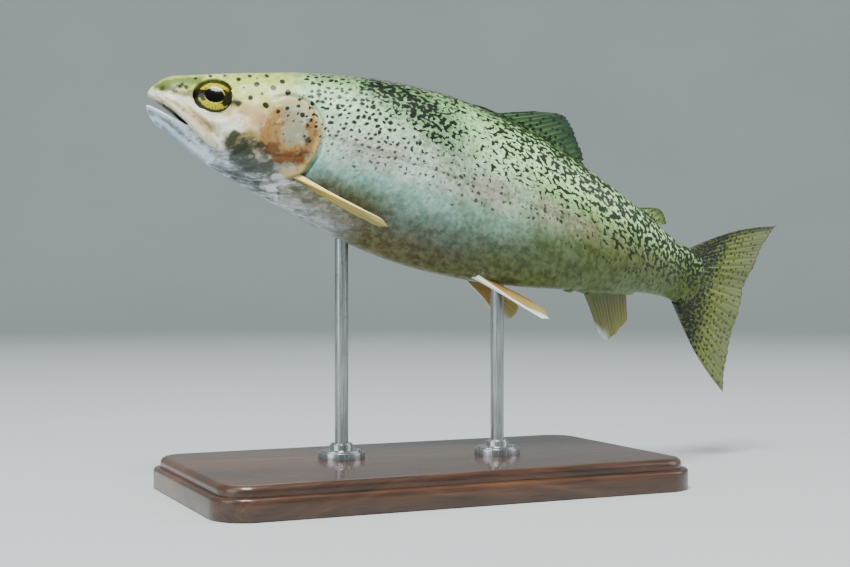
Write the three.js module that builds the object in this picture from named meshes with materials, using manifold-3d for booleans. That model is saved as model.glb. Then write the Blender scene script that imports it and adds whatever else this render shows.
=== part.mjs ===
// A rainbow trout (Oncorhynchus mykiss), as a still, life-size model on a plain display stand.
//
// The fish is laid out straight first. There x runs from the snout back to the tail, z is up, and
// y is across, with the fish's left side at -y. Every solid is shaped and cut in that layout.
// Then bend() curves it along the swimming spine, and the fish group pitches and banks it.
// Millimetres, +Z up. The origin is the middle of the underside of the stand's base.
import * as THREE from 'three';
import { mergeVertices } from 'three/addons/utils/BufferGeometryUtils.js';
import Module from 'manifold-3d';

const wasm = await Module();
wasm.setup();

// ---- driving dimensions -------------------------------------------------------------------

const TOTAL_LENGTH = 300; // snout to the tips of the tail fin
const BODY_END = 258; // where the scaled body gives way to the tail fin
const SHOULDER = 60; // the cut between head and trunk, under the gill covers
const VENT_CUT = 184; // the cut between trunk and tail, just before the anal fin
const GAP = 0.3; // clearance between neighbouring solids
const SIDES = { left: -1, right: 1 }; // which way along y each side of the fish lies

// How the body swells and tapers: one row for each station along the body.
// top and bottom are the profile's heights, half is the half width, mid the height of the widest point.
const STATIONS = [
  { at: 0, top: 4.6, bottom: -10.6, half: 7.2, mid: -3.2 },
  { at: 8, top: 7.4, bottom: -13.0, half: 9.4, mid: -3.0 },
  { at: 20, top: 12.0, bottom: -17.8, half: 12.0, mid: -2.8 },
  { at: 34, top: 17.2, bottom: -22.0, half: 14.6, mid: -2.6 },
  { at: 62, top: 26.2, bottom: -28.4, half: 17.6, mid: -2.2 },
  { at: 85, top: 31.2, bottom: -33.0, half: 18.6, mid: -1.6 },
  { at: 110, top: 33.2, bottom: -34.8, half: 18.6, mid: -1.0 },
  { at: 135, top: 31.3, bottom: -33.2, half: 17.4, mid: -0.6 },
  { at: 160, top: 27.0, bottom: -28.8, half: 14.8, mid: -0.4 },
  { at: 185, top: 21.8, bottom: -22.8, half: 11.6, mid: 0 },
  { at: 210, top: 17.2, bottom: -17.0, half: 8.4, mid: 0 },
  { at: 235, top: 13.5, bottom: -12.9, half: 5.8, mid: 0 },
  { at: 247, top: 12.5, bottom: -11.8, half: 4.5, mid: 0 },
  { at: BODY_END, top: 13.2, bottom: -12.6, half: 3.0, mid: 0 },
];
const NOSE = 8; // length over which the snout rounds off
const ROUND_SIDES = 28; // points round each section
const UPPER_POWER = 2.35; // how full the back is: 2 is an ellipse, more is squarer
const LOWER_POWER = 2.05; // the same for the belly

// The swimming spine: its heading in degrees at each station, seen from above.
const HEADINGS = [[0, -14], [70, -14], [140, -9], [190, 14], [235, 27], [BODY_END, 14], [TOTAL_LENGTH, 2]];
const PITCH = 16.4; // degrees, nose up
const BANK = 5; // degrees, the back leaning to -Y

const EYE = { at: 23.5, up: 4.9, sink: 2.3, radii: [7.4, 3.7, 6.8] };
const MOUTH = {
  corner: [30.5, -14.8],
  upper: [[0, -1.9], [9, -3.7], [17, -6.9], [24, -10.9]],
  lower: [[0, -5.0], [9, -6.4], [17, -9.2], [24, -12.2]],
  jawBack: [39, -40],
};
// The gill cover reaches this far from its centre every 30 degrees, from its rear point up and round.
const GILL_COVER = {
  centre: [49, -4.6],
  reach: [16, 17.4, 18, 16.4, 13, 11, 11.4, 13.4, 15.4, 14.8, 15, 15.8],
  proud: 0.9,
  deep: 2.6,
};
const MAXILLA = { line: [[3.8, 0.2], [12, -2.7], [21, -7.2], [30.5, -13.4]], proud: 0.9, deep: 1.8 };

// Fins on the middle plane. length and slant run from the leading ray, 0, to the last ray, 1.
const THIN = 0.4; // half thickness at a fin's outer edge
const DORSAL = {
  from: 122,
  to: 166,
  sink: 2.5,
  length: [[0, 21], [0.15, 24.5], [0.6, 14.5], [1, 4]],
  slant: [[0, 22], [0.4, 31], [1, 42]], // laid back, as in cruising
  rootHalf: 1.5,
  rays: 14,
};
const ADIPOSE = {
  from: 205,
  to: 219,
  sink: 2,
  length: [[0, 2], [0.3, 7], [0.7, 10.5], [1, 9]],
  slant: [[0, 42], [0.5, 38], [1, 20]],
  rootHalf: 1.2,
  rays: 9,
};
const ANAL = {
  from: 187,
  to: 213,
  sink: 2.5,
  length: [[0, 22], [0.15, 26], [0.5, 21.5], [1, 14]],
  slant: [[0, 41], [0.5, 48], [1, 52]],
  rootHalf: 1.3,
  rays: 12,
};
// The tail fin's rays run from the upper lobe's leading one, 0, to the lower lobe's, 1. Tips are [along, up].
const TAIL_FIN = {
  root: 13,
  upperTip: [TOTAL_LENGTH, 37],
  lowerTip: [TOTAL_LENGTH - 3, -43],
  fork: 292,
  bow: 2.6,
  rootHalf: 2.6,
  rays: 21,
};
// Paired fins fan from a short root, between the directions of their first and last rays, for the right side.
const PECTORAL = {
  rootFront: [58.5, 13.6, -14.9],
  rootBack: [63.5, 13.2, -17],
  length: [[0, 41], [0.2, 41.5], [0.7, 30], [1, 20]],
  first: { left: [0.86, 0.44, -0.19], right: [0.86, 0.44, -0.19] },
  last: { left: [0.97, 0.02, -0.26], right: [0.97, 0.02, -0.26] },
  rootHalf: 1.4,
};
const PELVIC = {
  rootFront: [137, 7.4, -30.4],
  rootBack: [144, 4.2, -30.6],
  length: [[0, 30], [0.2, 31], [0.7, 25], [1, 18]],
  first: { left: [0.84, 0.36, -0.26], right: [0.84, 0.36, -0.42] },
  last: { left: [0.97, -0.02, -0.1], right: [0.97, -0.02, -0.2] },
  rootHalf: 1.3,
};

const STAND = {
  base: [190, 104, 12],
  corner: 14,
  bevel: 1.5,
  rodRadius: 2.6,
  rodStations: [86, 150], // where the rods meet the belly, along the body
  footRadius: 9,
  footHeight: 3,
  snoutHeight: 152,
};

// ---- materials ----------------------------------------------------------------------------

const COLOURS = {
  back: ['#7f8a5a', 0.45, 0],
  jaw: ['#d5d3cc', 0.4, 0],
  cheek: ['#b98f6c', 0.4, 0],
  fin: ['#8c8a55', 0.5, 0],
  paleFin: ['#d8c98f', 0.5, 0],
  eye: ['#1a1a14', 0.08, 0],
  wood: ['#3b2a1e', 0.45, 0],
  steel: ['#b9bbbd', 0.3, 1],
};
const material = Object.fromEntries(
  Object.entries(COLOURS).map(([name, [color, roughness, metalness]]) => [
    name,
    new THREE.MeshStandardMaterial({ name, color, roughness, metalness }),
  ]),
);

// ---- curves along the body ----------------------------------------------------------------

const lerp = THREE.MathUtils.lerp;
const radians = THREE.MathUtils.degToRad;

/** A smooth curve through [x, y] points, which doesn't overshoot between them. */
function curveThrough(points) {
  const x = points.map((point) => point[0]);
  const y = points.map((point) => point[1]);
  const slope = (i) => (y[i + 1] - y[i]) / (x[i + 1] - x[i]);
  const tangent = x.map((_, i) => {
    if (i === 0) return slope(0);
    if (i === x.length - 1) return slope(i - 1);
    const [before, after] = [slope(i - 1), slope(i)];
    return before * after <= 0 ? 0 : (2 * before * after) / (before + after);
  });
  return (at) => {
    const s = THREE.MathUtils.clamp(at, x[0], x[x.length - 1]);
    const i = Math.min(x.findLastIndex((value) => value <= s), x.length - 2);
    const width = x[i + 1] - x[i];
    const u = (s - x[i]) / width;
    const rise = y[i + 1] - y[i];
    const bow = (1 - u) * (tangent[i] * width - rise) - u * (tangent[i + 1] * width - rise);
    return y[i] + u * rise + u * (1 - u) * bow;
  };
}

const profile = Object.fromEntries(
  ['top', 'bottom', 'half', 'mid'].map((key) => [key, curveThrough(STATIONS.map((row) => [row.at, row[key]]))]),
);

/** How much of the section is left where the snout rounds off. */
function noseShare(at) {
  const left = 1 - THREE.MathUtils.clamp(at / NOSE, 0, 1);
  return Math.sqrt(1 - left * left);
}

/** One section's sizes, grown all round by grow. */
function section(at, grow = 0) {
  const share = noseShare(at + Math.max(grow, 0));
  const mid = profile.mid(at);
  return {
    mid,
    up: share * (profile.top(at) - mid) + grow * share,
    down: share * (mid - profile.bottom(at)) + grow * share,
    half: share * profile.half(at) + grow * share,
  };
}

/** The point of a section at an angle, where 0 is the fish's right side and 90 degrees its back. */
function sectionPoint(at, angle, grow = 0) {
  const { mid, up, down, half } = section(at, grow);
  const [c, s] = [Math.cos(angle), Math.sin(angle)];
  const power = 2 / (s >= 0 ? UPPER_POWER : LOWER_POWER);
  const across = half * Math.sign(c) * Math.abs(c) ** power;
  const above = (s >= 0 ? up : down) * Math.sign(s) * Math.abs(s) ** power;
  return new THREE.Vector3(at, across, mid + above);
}

/** How far the body's side is from its middle plane, at a place along it and a height. */
function sideAt(at, height) {
  const { mid, up, down, half } = section(at);
  const above = height >= mid;
  const power = above ? UPPER_POWER : LOWER_POWER;
  const share = Math.min(Math.abs(height - mid) / (above ? up : down), 1);
  return half * (1 - share ** power) ** (1 / power);
}

// ---- the swimming spine -------------------------------------------------------------------

const heading = curveThrough(HEADINGS);

/** The spine's path from above, summed in steps of 1 mm from the snout. */
const spine = [new THREE.Vector2(0, 0)];
for (let at = 0; at < TOTAL_LENGTH + 20; at += 1) {
  const turn = radians(heading(at + 0.5));
  spine.push(new THREE.Vector2(Math.cos(turn), Math.sin(turn)).add(spine[at]));
}

/** Where a point of the straight fish lies on the bent one. */
function bend(point) {
  const at = THREE.MathUtils.clamp(point.x, 0, TOTAL_LENGTH + 18);
  const step = Math.floor(at);
  const onSpine = spine[step].clone().lerp(spine[step + 1], at - step);
  const turn = radians(heading(at));
  const ahead = point.x - at; // only in front of the snout
  return new THREE.Vector3(
    onSpine.x + ahead * Math.cos(turn) - point.y * Math.sin(turn),
    onSpine.y + ahead * Math.sin(turn) + point.y * Math.cos(turn),
    point.z,
  );
}

// ---- geometry helpers ---------------------------------------------------------------------

function geometryFrom(points, triangles) {
  const geometry = new THREE.BufferGeometry();
  const numbers = points.flatMap((p) => [p.x, p.y, p.z]);
  geometry.setAttribute('position', new THREE.Float32BufferAttribute(numbers, 3));
  geometry.setIndex(triangles.flat());
  return geometry;
}

/** A closed solid as a manifold, ready for cutting, with its faces turned out. */
function solidOf(geometry) {
  const bare = geometry.clone();
  bare.deleteAttribute('normal');
  bare.deleteAttribute('uv');
  const merged = mergeVertices(bare, 1e-4);
  const vertProperties = new Float32Array(merged.attributes.position.array);
  const triVerts = new Uint32Array(merged.index.array);
  const solid = new wasm.Manifold(new wasm.Mesh({ numProp: 3, vertProperties, triVerts }));
  if (solid.volume() > 0) return solid;
  return new wasm.Manifold(new wasm.Mesh({ numProp: 3, vertProperties, triVerts: triVerts.reverse() }));
}

/** The largest of a cut solid's bodies, without the dust that cutting can leave. */
function largestBody(solid) {
  return solid.decompose().reduce((a, b) => (b.volume() > a.volume() ? b : a));
}

function geometryOf(solid) {
  const mesh = largestBody(solid).getMesh();
  const geometry = new THREE.BufferGeometry();
  geometry.setAttribute('position', new THREE.BufferAttribute(mesh.vertProperties, 3));
  geometry.setIndex(new THREE.BufferAttribute(mesh.triVerts, 1));
  return geometry;
}

/** The straight solid's geometry, curved along the spine. */
function bent(solid) {
  const geometry = geometryOf(solid);
  const position = geometry.attributes.position;
  for (let i = 0; i < position.count; i += 1) {
    const p = bend(new THREE.Vector3().fromBufferAttribute(position, i));
    position.setXYZ(i, p.x, p.y, p.z);
  }
  return geometry;
}

/** Rings of points skinned into one closed solid, with a point at each end. */
function loft(rings, firstTip, lastTip) {
  const sides = rings[0].length;
  const points = [...rings.flat(), firstTip, lastTip];
  const [first, last] = [points.length - 2, points.length - 1];
  const triangles = [];
  for (let side = 0; side < sides; side += 1) {
    const next = (side + 1) % sides;
    triangles.push([first, next, side]);
    for (let ring = 0; ring < rings.length - 1; ring += 1) {
      const [a, b] = [ring * sides, (ring + 1) * sides];
      triangles.push([a + side, a + next, b + next], [a + side, b + next, b + side]);
    }
    const end = (rings.length - 1) * sides;
    triangles.push([last, end + side, end + next]);
  }
  return solidOf(geometryFrom(points, triangles));
}

/** An outline drawn on the fish's side view, pushed through from one y to another. */
function sideCutter(outline, fromY, toY) {
  const shape = new THREE.Shape(outline.map(([x, z]) => new THREE.Vector2(x, z)));
  const geometry = new THREE.ExtrudeGeometry(shape, { depth: toY - fromY, bevelEnabled: false });
  geometry.rotateX(Math.PI / 2);
  geometry.translate(0, toY, 0);
  return solidOf(geometry);
}

/** A block of the straight fish, between two places along it. */
function slice(from, to) {
  const block = new THREE.BoxGeometry(to - from, 200, 200);
  block.translate((from + to) / 2, 0, 0);
  return solidOf(block);
}

// ---- body -------------------------------------------------------------------------------

/** The whole body from snout to tail root, grown all round by grow. */
function body(grow = 0) {
  const noseSteps = 6;
  const start = -Math.max(grow, 0);
  const places = [];
  for (let i = 1; i <= noseSteps; i += 1) {
    places.push(start + NOSE * (1 - Math.cos((i / noseSteps) * (Math.PI / 2))));
  }
  const rest = 36;
  const [noseEnd, bodyEnd] = [start + NOSE, BODY_END + Math.max(grow, 0)];
  for (let i = 1; i <= rest; i += 1) places.push(lerp(noseEnd, bodyEnd, i / rest));
  const rings = places.map((at) =>
    Array.from({ length: ROUND_SIDES }, (_, i) => sectionPoint(at, (i / ROUND_SIDES) * 2 * Math.PI, grow)),
  );
  const tip = new THREE.Vector3(start, 0, profile.mid(0));
  return loft(rings, tip, new THREE.Vector3(bodyEnd, 0, 0));
}

const plainBody = body();
const clearBody = body(GAP);

// ---- head -------------------------------------------------------------------------------

/** Points on a closed smooth outline round a centre, from its reach at evenly spaced angles. */
function roundOutline([x, z], reaches, grow = 0, count = 36) {
  const ring = new THREE.CatmullRomCurve3(
    reaches.map((reach, i) => {
      const angle = (i / reaches.length) * 2 * Math.PI;
      return new THREE.Vector3(x + (reach + grow) * Math.cos(angle), z + (reach + grow) * Math.sin(angle), 0);
    }),
    true,
  );
  return ring.getSpacedPoints(count).slice(0, count).map((p) => [p.x, p.y]);
}

function gillCoverOutline(grow = 0) {
  return roundOutline(GILL_COVER.centre, GILL_COVER.reach, grow);
}

/** Maxilla: a blade from under the snout to the mouth corner, widest near its round end. */
function maxillaOutline(grow = 0) {
  const line = new THREE.CatmullRomCurve3(MAXILLA.line.map(([x, z]) => new THREE.Vector3(x, z, 0)));
  const steps = 10;
  const [above, below] = [[], []];
  for (let i = 0; i <= steps; i += 1) {
    const u = i / steps;
    const p = line.getPoint(u);
    const along = line.getTangent(u);
    const halfWidth = (0.9 + 1.4 * Math.sin((u * Math.PI) / 2)) * Math.sqrt(1 - u ** 8) + 0.1;
    const reach = halfWidth + grow;
    above.push([p.x - along.y * reach, p.y + along.x * reach]);
    below.push([p.x + along.y * reach, p.y - along.x * reach]);
  }
  return [...below, ...above.reverse()];
}

/** A plate of the given outline, lying in the skin of one side of the body. */
function sidePlate(outline, side, proud, deep) {
  const [near, far] = side < 0 ? [-60, -0.5] : [0.5, 60];
  return body(proud).subtract(body(-deep)).intersect(sideCutter(outline, near, far));
}

/** The room that such a plate takes in the solids beneath it. */
function sidePocket(outline, side, deep) {
  const [near, far] = side < 0 ? [-60, -0.5] : [0.5, 60];
  return sideCutter(outline, near, far).subtract(body(-deep - GAP));
}

/** An eyeball, flattened across, with its outer face standing out of the head. */
function eyeball(side, grow = 0) {
  const ball = new THREE.SphereGeometry(1, 18, 10);
  const [along, across, up] = EYE.radii;
  ball.rotateX(Math.PI / 2);
  ball.scale(along + grow, across + grow, up + grow);
  ball.rotateX(side * radians(8));
  ball.rotateZ(side * radians(-8));
  const centre = sideAt(EYE.at, EYE.up) - EYE.sink;
  ball.translate(EYE.at, side * centre, EYE.up);
  return solidOf(ball);
}

/** The open mouth: a wedge from the lips to the corner, and the seam behind the lower jaw. */
function mouthGap() {
  const front = -6;
  const { upper, lower, corner, jawBack } = MOUTH;
  const [cx, cz] = corner;
  const outline = [
    [front, upper[0][1]],
    ...upper,
    [cx, cz + GAP / 2],
    [jawBack[0] + GAP, jawBack[1]],
    [jawBack[0], jawBack[1]],
    [cx - GAP, cz - GAP],
    ...[...lower].reverse(),
    [front, lower[0][1]],
  ];
  return sideCutter(outline, -60, 60);
}

/** Below the mouth and in front of the jaw's back seam. */
function jawSide() {
  const { lower, corner, jawBack } = MOUTH;
  const front = -6;
  const seam = [corner[0] - GAP, corner[1] - GAP];
  return sideCutter([[front, lower[0][1]], ...lower, seam, jawBack, [front, jawBack[1]]], -60, 60);
}

function buildHead() {
  const parts = {};
  let front = plainBody.intersect(slice(-10, SHOULDER - GAP / 2));
  let trunk = plainBody.intersect(slice(SHOULDER + GAP / 2, VENT_CUT - GAP / 2));
  for (const [name, side] of Object.entries(SIDES)) {
    const gillPocket = sidePocket(gillCoverOutline(GAP), side, GILL_COVER.deep);
    const jawPocket = sidePocket(maxillaOutline(GAP), side, MAXILLA.deep);
    front = front.subtract(gillPocket).subtract(jawPocket).subtract(eyeball(side, GAP));
    trunk = trunk.subtract(gillPocket);
    parts[`gill_cover_${name}`] = sidePlate(gillCoverOutline(), side, GILL_COVER.proud, GILL_COVER.deep);
    parts[`maxilla_${name}`] = sidePlate(maxillaOutline(), side, MAXILLA.proud, MAXILLA.deep);
    parts[`eye_${name}`] = eyeball(side);
  }
  const opened = front.subtract(mouthGap());
  parts.head = opened.subtract(jawSide());
  parts.lower_jaw = opened.intersect(jawSide());
  parts.trunk = trunk;
  return parts;
}

// ---- fins -------------------------------------------------------------------------------

/**
 * A fin as a thin closed plate. root(v) and edge(v) give its two ends for v from 0 at the leading
 * ray to 1 at the last ray, bow(u, v) moves a point sideways, and half(u) is half its thickness.
 */
function fin({ root, edge, half, across, rays, steps, bow }) {
  const faces = [[], []];
  for (let j = 0; j < rays; j += 1) {
    const v = j / (rays - 1);
    for (let i = 0; i < steps; i += 1) {
      const u = i / (steps - 1);
      const middle = root(v).lerp(edge(v), u);
      if (bow) middle.add(bow(u, v));
      const offset = across.clone().multiplyScalar(half(u, v));
      faces[0].push(middle.clone().add(offset));
      faces[1].push(middle.clone().sub(offset));
    }
  }
  const count = rays * steps;
  const triangles = [];
  const quad = (a, b, c, d) => triangles.push([a, b, c], [a, c, d]);
  for (let j = 0; j < rays - 1; j += 1) {
    for (let i = 0; i < steps - 1; i += 1) {
      const a = j * steps + i;
      quad(a, a + 1, a + 1 + steps, a + steps);
      quad(count + a, count + a + steps, count + a + 1 + steps, count + a + 1);
    }
  }
  const rim = [];
  for (let i = 0; i < steps - 1; i += 1) rim.push(i);
  for (let j = 0; j < rays - 1; j += 1) rim.push(j * steps + steps - 1);
  for (let i = steps - 1; i > 0; i -= 1) rim.push((rays - 1) * steps + i);
  for (let j = rays - 1; j > 0; j -= 1) rim.push(j * steps);
  rim.forEach((a, i) => {
    const b = rim[(i + 1) % rim.length];
    quad(a, count + a, count + b, b);
  });
  return solidOf(geometryFrom([...faces[0], ...faces[1]], triangles));
}

const ACROSS = new THREE.Vector3(0, 1, 0);

/** Half the thickness along a ray, from the root's to the thin edge's. */
function taper(rootHalf, power) {
  return (u) => lerp(rootHalf, THIN, u ** power);
}

/** A fin on the middle plane, standing on the profile that surface gives. */
function medianFin(surface, { from, to, sink, length, slant, rootHalf, rays }) {
  const up = Math.sign(surface(from));
  const [reach, lean] = [curveThrough(length), curveThrough(slant)];
  const root = (v) => {
    const at = lerp(from, to, v);
    return new THREE.Vector3(at, 0, surface(at) - up * sink);
  };
  const edge = (v) => {
    const angle = radians(lean(v));
    const direction = new THREE.Vector3(Math.cos(angle), 0, up * Math.sin(angle));
    return root(v).addScaledVector(direction, reach(v) + sink);
  };
  return fin({ root, edge, half: taper(rootHalf, 0.5), across: ACROSS, rays, steps: 5 });
}

function tailFinEdge(v) {
  const spread = Math.abs(1 - 2 * v);
  const [along, up] = v < 0.5 ? TAIL_FIN.upperTip : TAIL_FIN.lowerTip;
  return new THREE.Vector3(lerp(TAIL_FIN.fork, along, spread ** 1.7), 0, up * spread * (1.3 - 0.3 * spread ** 2));
}

function caudalFin() {
  const root = (v) => new THREE.Vector3(BODY_END + GAP, 0, TAIL_FIN.root * (1 - 2 * v));
  const bow = (u, v) => new THREE.Vector3(0, 0, TAIL_FIN.bow * Math.sin(Math.PI * u) * (1 - 2 * v) ** 3);
  const half = taper(TAIL_FIN.rootHalf, 0.4);
  return fin({ root, edge: tailFinEdge, half, across: ACROSS, rays: TAIL_FIN.rays, steps: 6, bow });
}

/** A paired fin, mirrored from the right side's numbers for the left one. */
function pairedFin(name, side, { rootFront, rootBack, first, last, length, rootHalf }) {
  const mirror = ([x, y, z]) => new THREE.Vector3(x, side * y, z);
  const [front, back] = [mirror(rootFront), mirror(rootBack)];
  const [a, b] = [mirror(first[name]).normalize(), mirror(last[name]).normalize()];
  const across = a.clone().cross(b).normalize();
  const reach = curveThrough(length);
  const root = (v) => front.clone().lerp(back, v);
  const edge = (v) => root(v).addScaledVector(a.clone().lerp(b, v).normalize(), reach(v));
  return fin({ root, edge, half: taper(rootHalf, 0.5), across, rays: 10, steps: 6 });
}

// ---- the fish ---------------------------------------------------------------------------

const head = buildHead();
const solids = [
  ['head', head.head, 'back'],
  ['lower_jaw', head.lower_jaw, 'jaw'],
  ['maxilla_left', head.maxilla_left, 'jaw'],
  ['maxilla_right', head.maxilla_right, 'jaw'],
  ['gill_cover_left', head.gill_cover_left, 'cheek'],
  ['gill_cover_right', head.gill_cover_right, 'cheek'],
  ['eye_left', head.eye_left, 'eye'],
  ['eye_right', head.eye_right, 'eye'],
  ['trunk', head.trunk, 'back'],
  ['tail', plainBody.intersect(slice(VENT_CUT + GAP / 2, BODY_END + 1)), 'back'],
  ['dorsal_fin', medianFin(profile.top, DORSAL).subtract(clearBody), 'fin'],
  ['adipose_fin', medianFin(profile.top, ADIPOSE).subtract(clearBody), 'fin'],
  ['anal_fin', medianFin(profile.bottom, ANAL).subtract(clearBody), 'fin'],
  ['caudal_fin', caudalFin(), 'fin'],
];
for (const [name, side] of Object.entries(SIDES)) {
  solids.push([`pectoral_fin_${name}`, pairedFin(name, side, PECTORAL).subtract(clearBody), 'paleFin']);
  solids.push([`pelvic_fin_${name}`, pairedFin(name, side, PELVIC).subtract(clearBody), 'paleFin']);
}

const fish = new THREE.Group();
for (const [name, solid, colour] of solids) {
  const mesh = new THREE.Mesh(bent(solid), material[colour]);
  mesh.name = name;
  fish.add(mesh);
}

// The fish is turned about its snout, then set so that its two rods stand over the base's middle line.
fish.rotation.set(radians(BANK), radians(PITCH), 0, 'YXZ');
fish.updateMatrixWorld(true);

/** A place on the belly, in the stand's frame but for the fish's own position. */
function bellyPoint(at) {
  return bend(new THREE.Vector3(at, 0, profile.bottom(at))).applyMatrix4(fish.matrixWorld);
}

const [frontRod, rearRod] = STAND.rodStations.map(bellyPoint);
fish.position.set(-(frontRod.x + rearRod.x) / 2, -(frontRod.y + rearRod.y) / 2, STAND.snoutHeight);
fish.updateMatrixWorld(true);

// ---- the stand --------------------------------------------------------------------------

function standMesh(name, geometry, colour) {
  const mesh = new THREE.Mesh(geometry, material[colour]);
  mesh.name = name;
  return mesh;
}

function standBase() {
  const [length, width, height] = STAND.base;
  const [x, y] = [length / 2 - STAND.bevel, width / 2 - STAND.bevel];
  const r = STAND.corner;
  const shape = new THREE.Shape();
  shape.moveTo(-x + r, -y);
  shape.lineTo(x - r, -y);
  shape.absarc(x - r, -y + r, r, -Math.PI / 2, 0);
  shape.absarc(x - r, y - r, r, 0, Math.PI / 2);
  shape.absarc(-x + r, y - r, r, Math.PI / 2, Math.PI);
  shape.absarc(-x + r, -y + r, r, Math.PI, 1.5 * Math.PI);
  const geometry = new THREE.ExtrudeGeometry(shape, {
    depth: height - 2 * STAND.bevel,
    bevelThickness: STAND.bevel,
    bevelSize: STAND.bevel,
    bevelSegments: 1,
    curveSegments: 5,
  });
  geometry.translate(0, 0, STAND.bevel);
  return standMesh('stand_base', geometry, 'wood');
}

/** A rod from its foot up to the belly, with its top cut to the belly's curve. */
function standRod(name, top) {
  const baseTop = STAND.base[2];
  const foot = new THREE.CylinderGeometry(STAND.footRadius - 1, STAND.footRadius, STAND.footHeight, 24);
  foot.rotateX(Math.PI / 2);
  foot.translate(top.x, top.y, baseTop + GAP + STAND.footHeight / 2);

  const rodBottom = baseTop + 2 * GAP + STAND.footHeight;
  const rodTop = top.z + 6;
  const rod = new THREE.CylinderGeometry(STAND.rodRadius, STAND.rodRadius, rodTop - rodBottom, 20);
  rod.rotateX(Math.PI / 2);
  rod.translate(top.x, top.y, (rodTop + rodBottom) / 2);

  const belly = bent(clearBody);
  belly.applyMatrix4(fish.matrixWorld);
  const fitted = geometryOf(solidOf(rod).subtract(solidOf(belly)));
  return [standMesh(`stand_foot_${name}`, foot, 'steel'), standMesh(`stand_rod_${name}`, fitted, 'steel')];
}

const model = new THREE.Group();
model.add(fish, standBase());
for (const [i, name] of ['front', 'rear'].entries()) {
  const top = bellyPoint(STAND.rodStations[i]);
  model.add(...standRod(name, top));
}

export default model;
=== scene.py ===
# %% [markdown]
# # A rainbow trout, cruising, on a display stand
#
# This lesson dresses a plain solid model of a trout as a museum's model maker would. The steps are:
#
# 1. lay the fish out straight, work out its skin as one surface, and bend it into its swim
# 2. cover the skin with thousands of thin scales
# 3. model the fins with their rays, the eyes, and the stand
# 4. paint: one set of markings that the skin and the scales share, and a finish for each other piece
# 5. set the floor, the lights and the camera
#
# The plain solids come first, because every size and place follows from them.

import math

import bmesh
import bpy
import numpy as np
import openvdb
from mathutils import Matrix, Vector


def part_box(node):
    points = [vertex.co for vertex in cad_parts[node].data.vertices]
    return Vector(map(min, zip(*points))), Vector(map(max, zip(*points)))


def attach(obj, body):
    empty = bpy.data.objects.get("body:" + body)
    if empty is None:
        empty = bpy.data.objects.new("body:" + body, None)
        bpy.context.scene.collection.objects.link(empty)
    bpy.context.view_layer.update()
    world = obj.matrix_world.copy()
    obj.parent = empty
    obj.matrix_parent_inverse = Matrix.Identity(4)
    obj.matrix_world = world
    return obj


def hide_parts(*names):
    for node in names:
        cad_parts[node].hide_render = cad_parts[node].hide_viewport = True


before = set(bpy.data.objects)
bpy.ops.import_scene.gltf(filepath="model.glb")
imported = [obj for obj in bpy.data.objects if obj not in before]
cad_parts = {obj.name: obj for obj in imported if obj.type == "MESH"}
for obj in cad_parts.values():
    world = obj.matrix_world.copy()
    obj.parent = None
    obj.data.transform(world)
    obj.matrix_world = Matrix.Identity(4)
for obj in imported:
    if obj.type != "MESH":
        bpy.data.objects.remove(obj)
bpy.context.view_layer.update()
MM = 0.001

# %% [markdown]
# ## A few tools for smooth shapes
#
# A fish has hardly a straight line, so most shapes here start as a smooth curve through a few points.
# The curve must not overshoot between its points, or the belly would bulge where no point asks for it.
# Its slope at each point is therefore the harmonic mean of the slopes on its two sides.

# %% Smooth curves and steps
def curve_through(points):
    """A smooth curve through (x, y) points that doesn't overshoot. It takes numbers or arrays."""
    x, y = np.array(points, float).T
    width = np.diff(x)
    slope = np.diff(y) / width
    before, after = slope[:-1], slope[1:]
    same_way = before * after > 0
    total = np.where(same_way, before + after, 1.0)
    middle = np.where(same_way, 2 * before * after / total, 0.0)
    tangent = np.concatenate([slope[:1], middle, slope[-1:]])

    def curve(at):
        at = np.clip(at, x[0], x[-1])
        i = np.clip(np.searchsorted(x, at, side="right") - 1, 0, len(x) - 2)
        u = (at - x[i]) / width[i]
        rise = y[i + 1] - y[i]
        bow = (1 - u) * (tangent[i] * width[i] - rise) - u * (tangent[i + 1] * width[i] - rise)
        return y[i] + u * rise + u * (1 - u) * bow

    return curve


def smooth_step(value, low, high):
    """0 below low, 1 above high, and a smooth rise between them."""
    share = np.clip((value - low) / (high - low), 0, 1)
    return share * share * (3 - 2 * share)


def smooth_line(points, count):
    """count points along a smooth line through the given ones (a Catmull-Rom spline)."""
    p = np.array(points, float)
    p = np.vstack([2 * p[0] - p[1], p, 2 * p[-1] - p[-2]])
    at = np.linspace(0, len(p) - 3.001, count)
    i = at.astype(int)
    u = (at - i)[:, None]
    a, b, c, d = p[i], p[i + 1], p[i + 2], p[i + 3]
    return b + 0.5 * u * (c - a + u * (2 * a - 5 * b + 4 * c - d + u * (3 * (b - c) + d - a)))


trial = curve_through([(0, 0), (1, 1), (2, 1)])
print("a curve through (0, 0), (1, 1), (2, 1) passes", round(float(trial(0.5)), 3))

# %% [markdown]
# ## The swimming pose
#
# It is much easier to shape a fish that lies straight. In the straight layout x is the distance back from
# the snout, y is across with the fish's left side at -y, and z is up, all in millimetres. This fish
# swims in a shallow C: the spine is a path seen from above, with a heading at each place. Bending carries
# every cross-section onto that path. The whole fish is then pitched nose up, banked a little, and set so
# that its two rods stand over the middle line of the base.

# %% The spine's path
TOTAL_LENGTH, BODY_END = 300, 258  # to the tail fin's tips, and to where the scaled body ends
PAST_TAIL = 20  # the spine runs on this far, to have room for rounding
HEADINGS = [(0, -14), (70, -14), (140, -9), (190, 14), (235, 27), (BODY_END, 14), (TOTAL_LENGTH, 2)]
PITCH, BANK = math.radians(16.4), math.radians(5)
SNOUT_HEIGHT = 152
ROD_STATIONS = {"front": 86, "rear": 150}

heading = curve_through(HEADINGS)
step_turns = np.radians(heading(np.arange(TOTAL_LENGTH + PAST_TAIL) + 0.5))
step_ahead = np.stack([np.cos(step_turns), np.sin(step_turns)], 1)
spine = np.vstack([[0, 0], np.cumsum(step_ahead, 0)])


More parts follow.
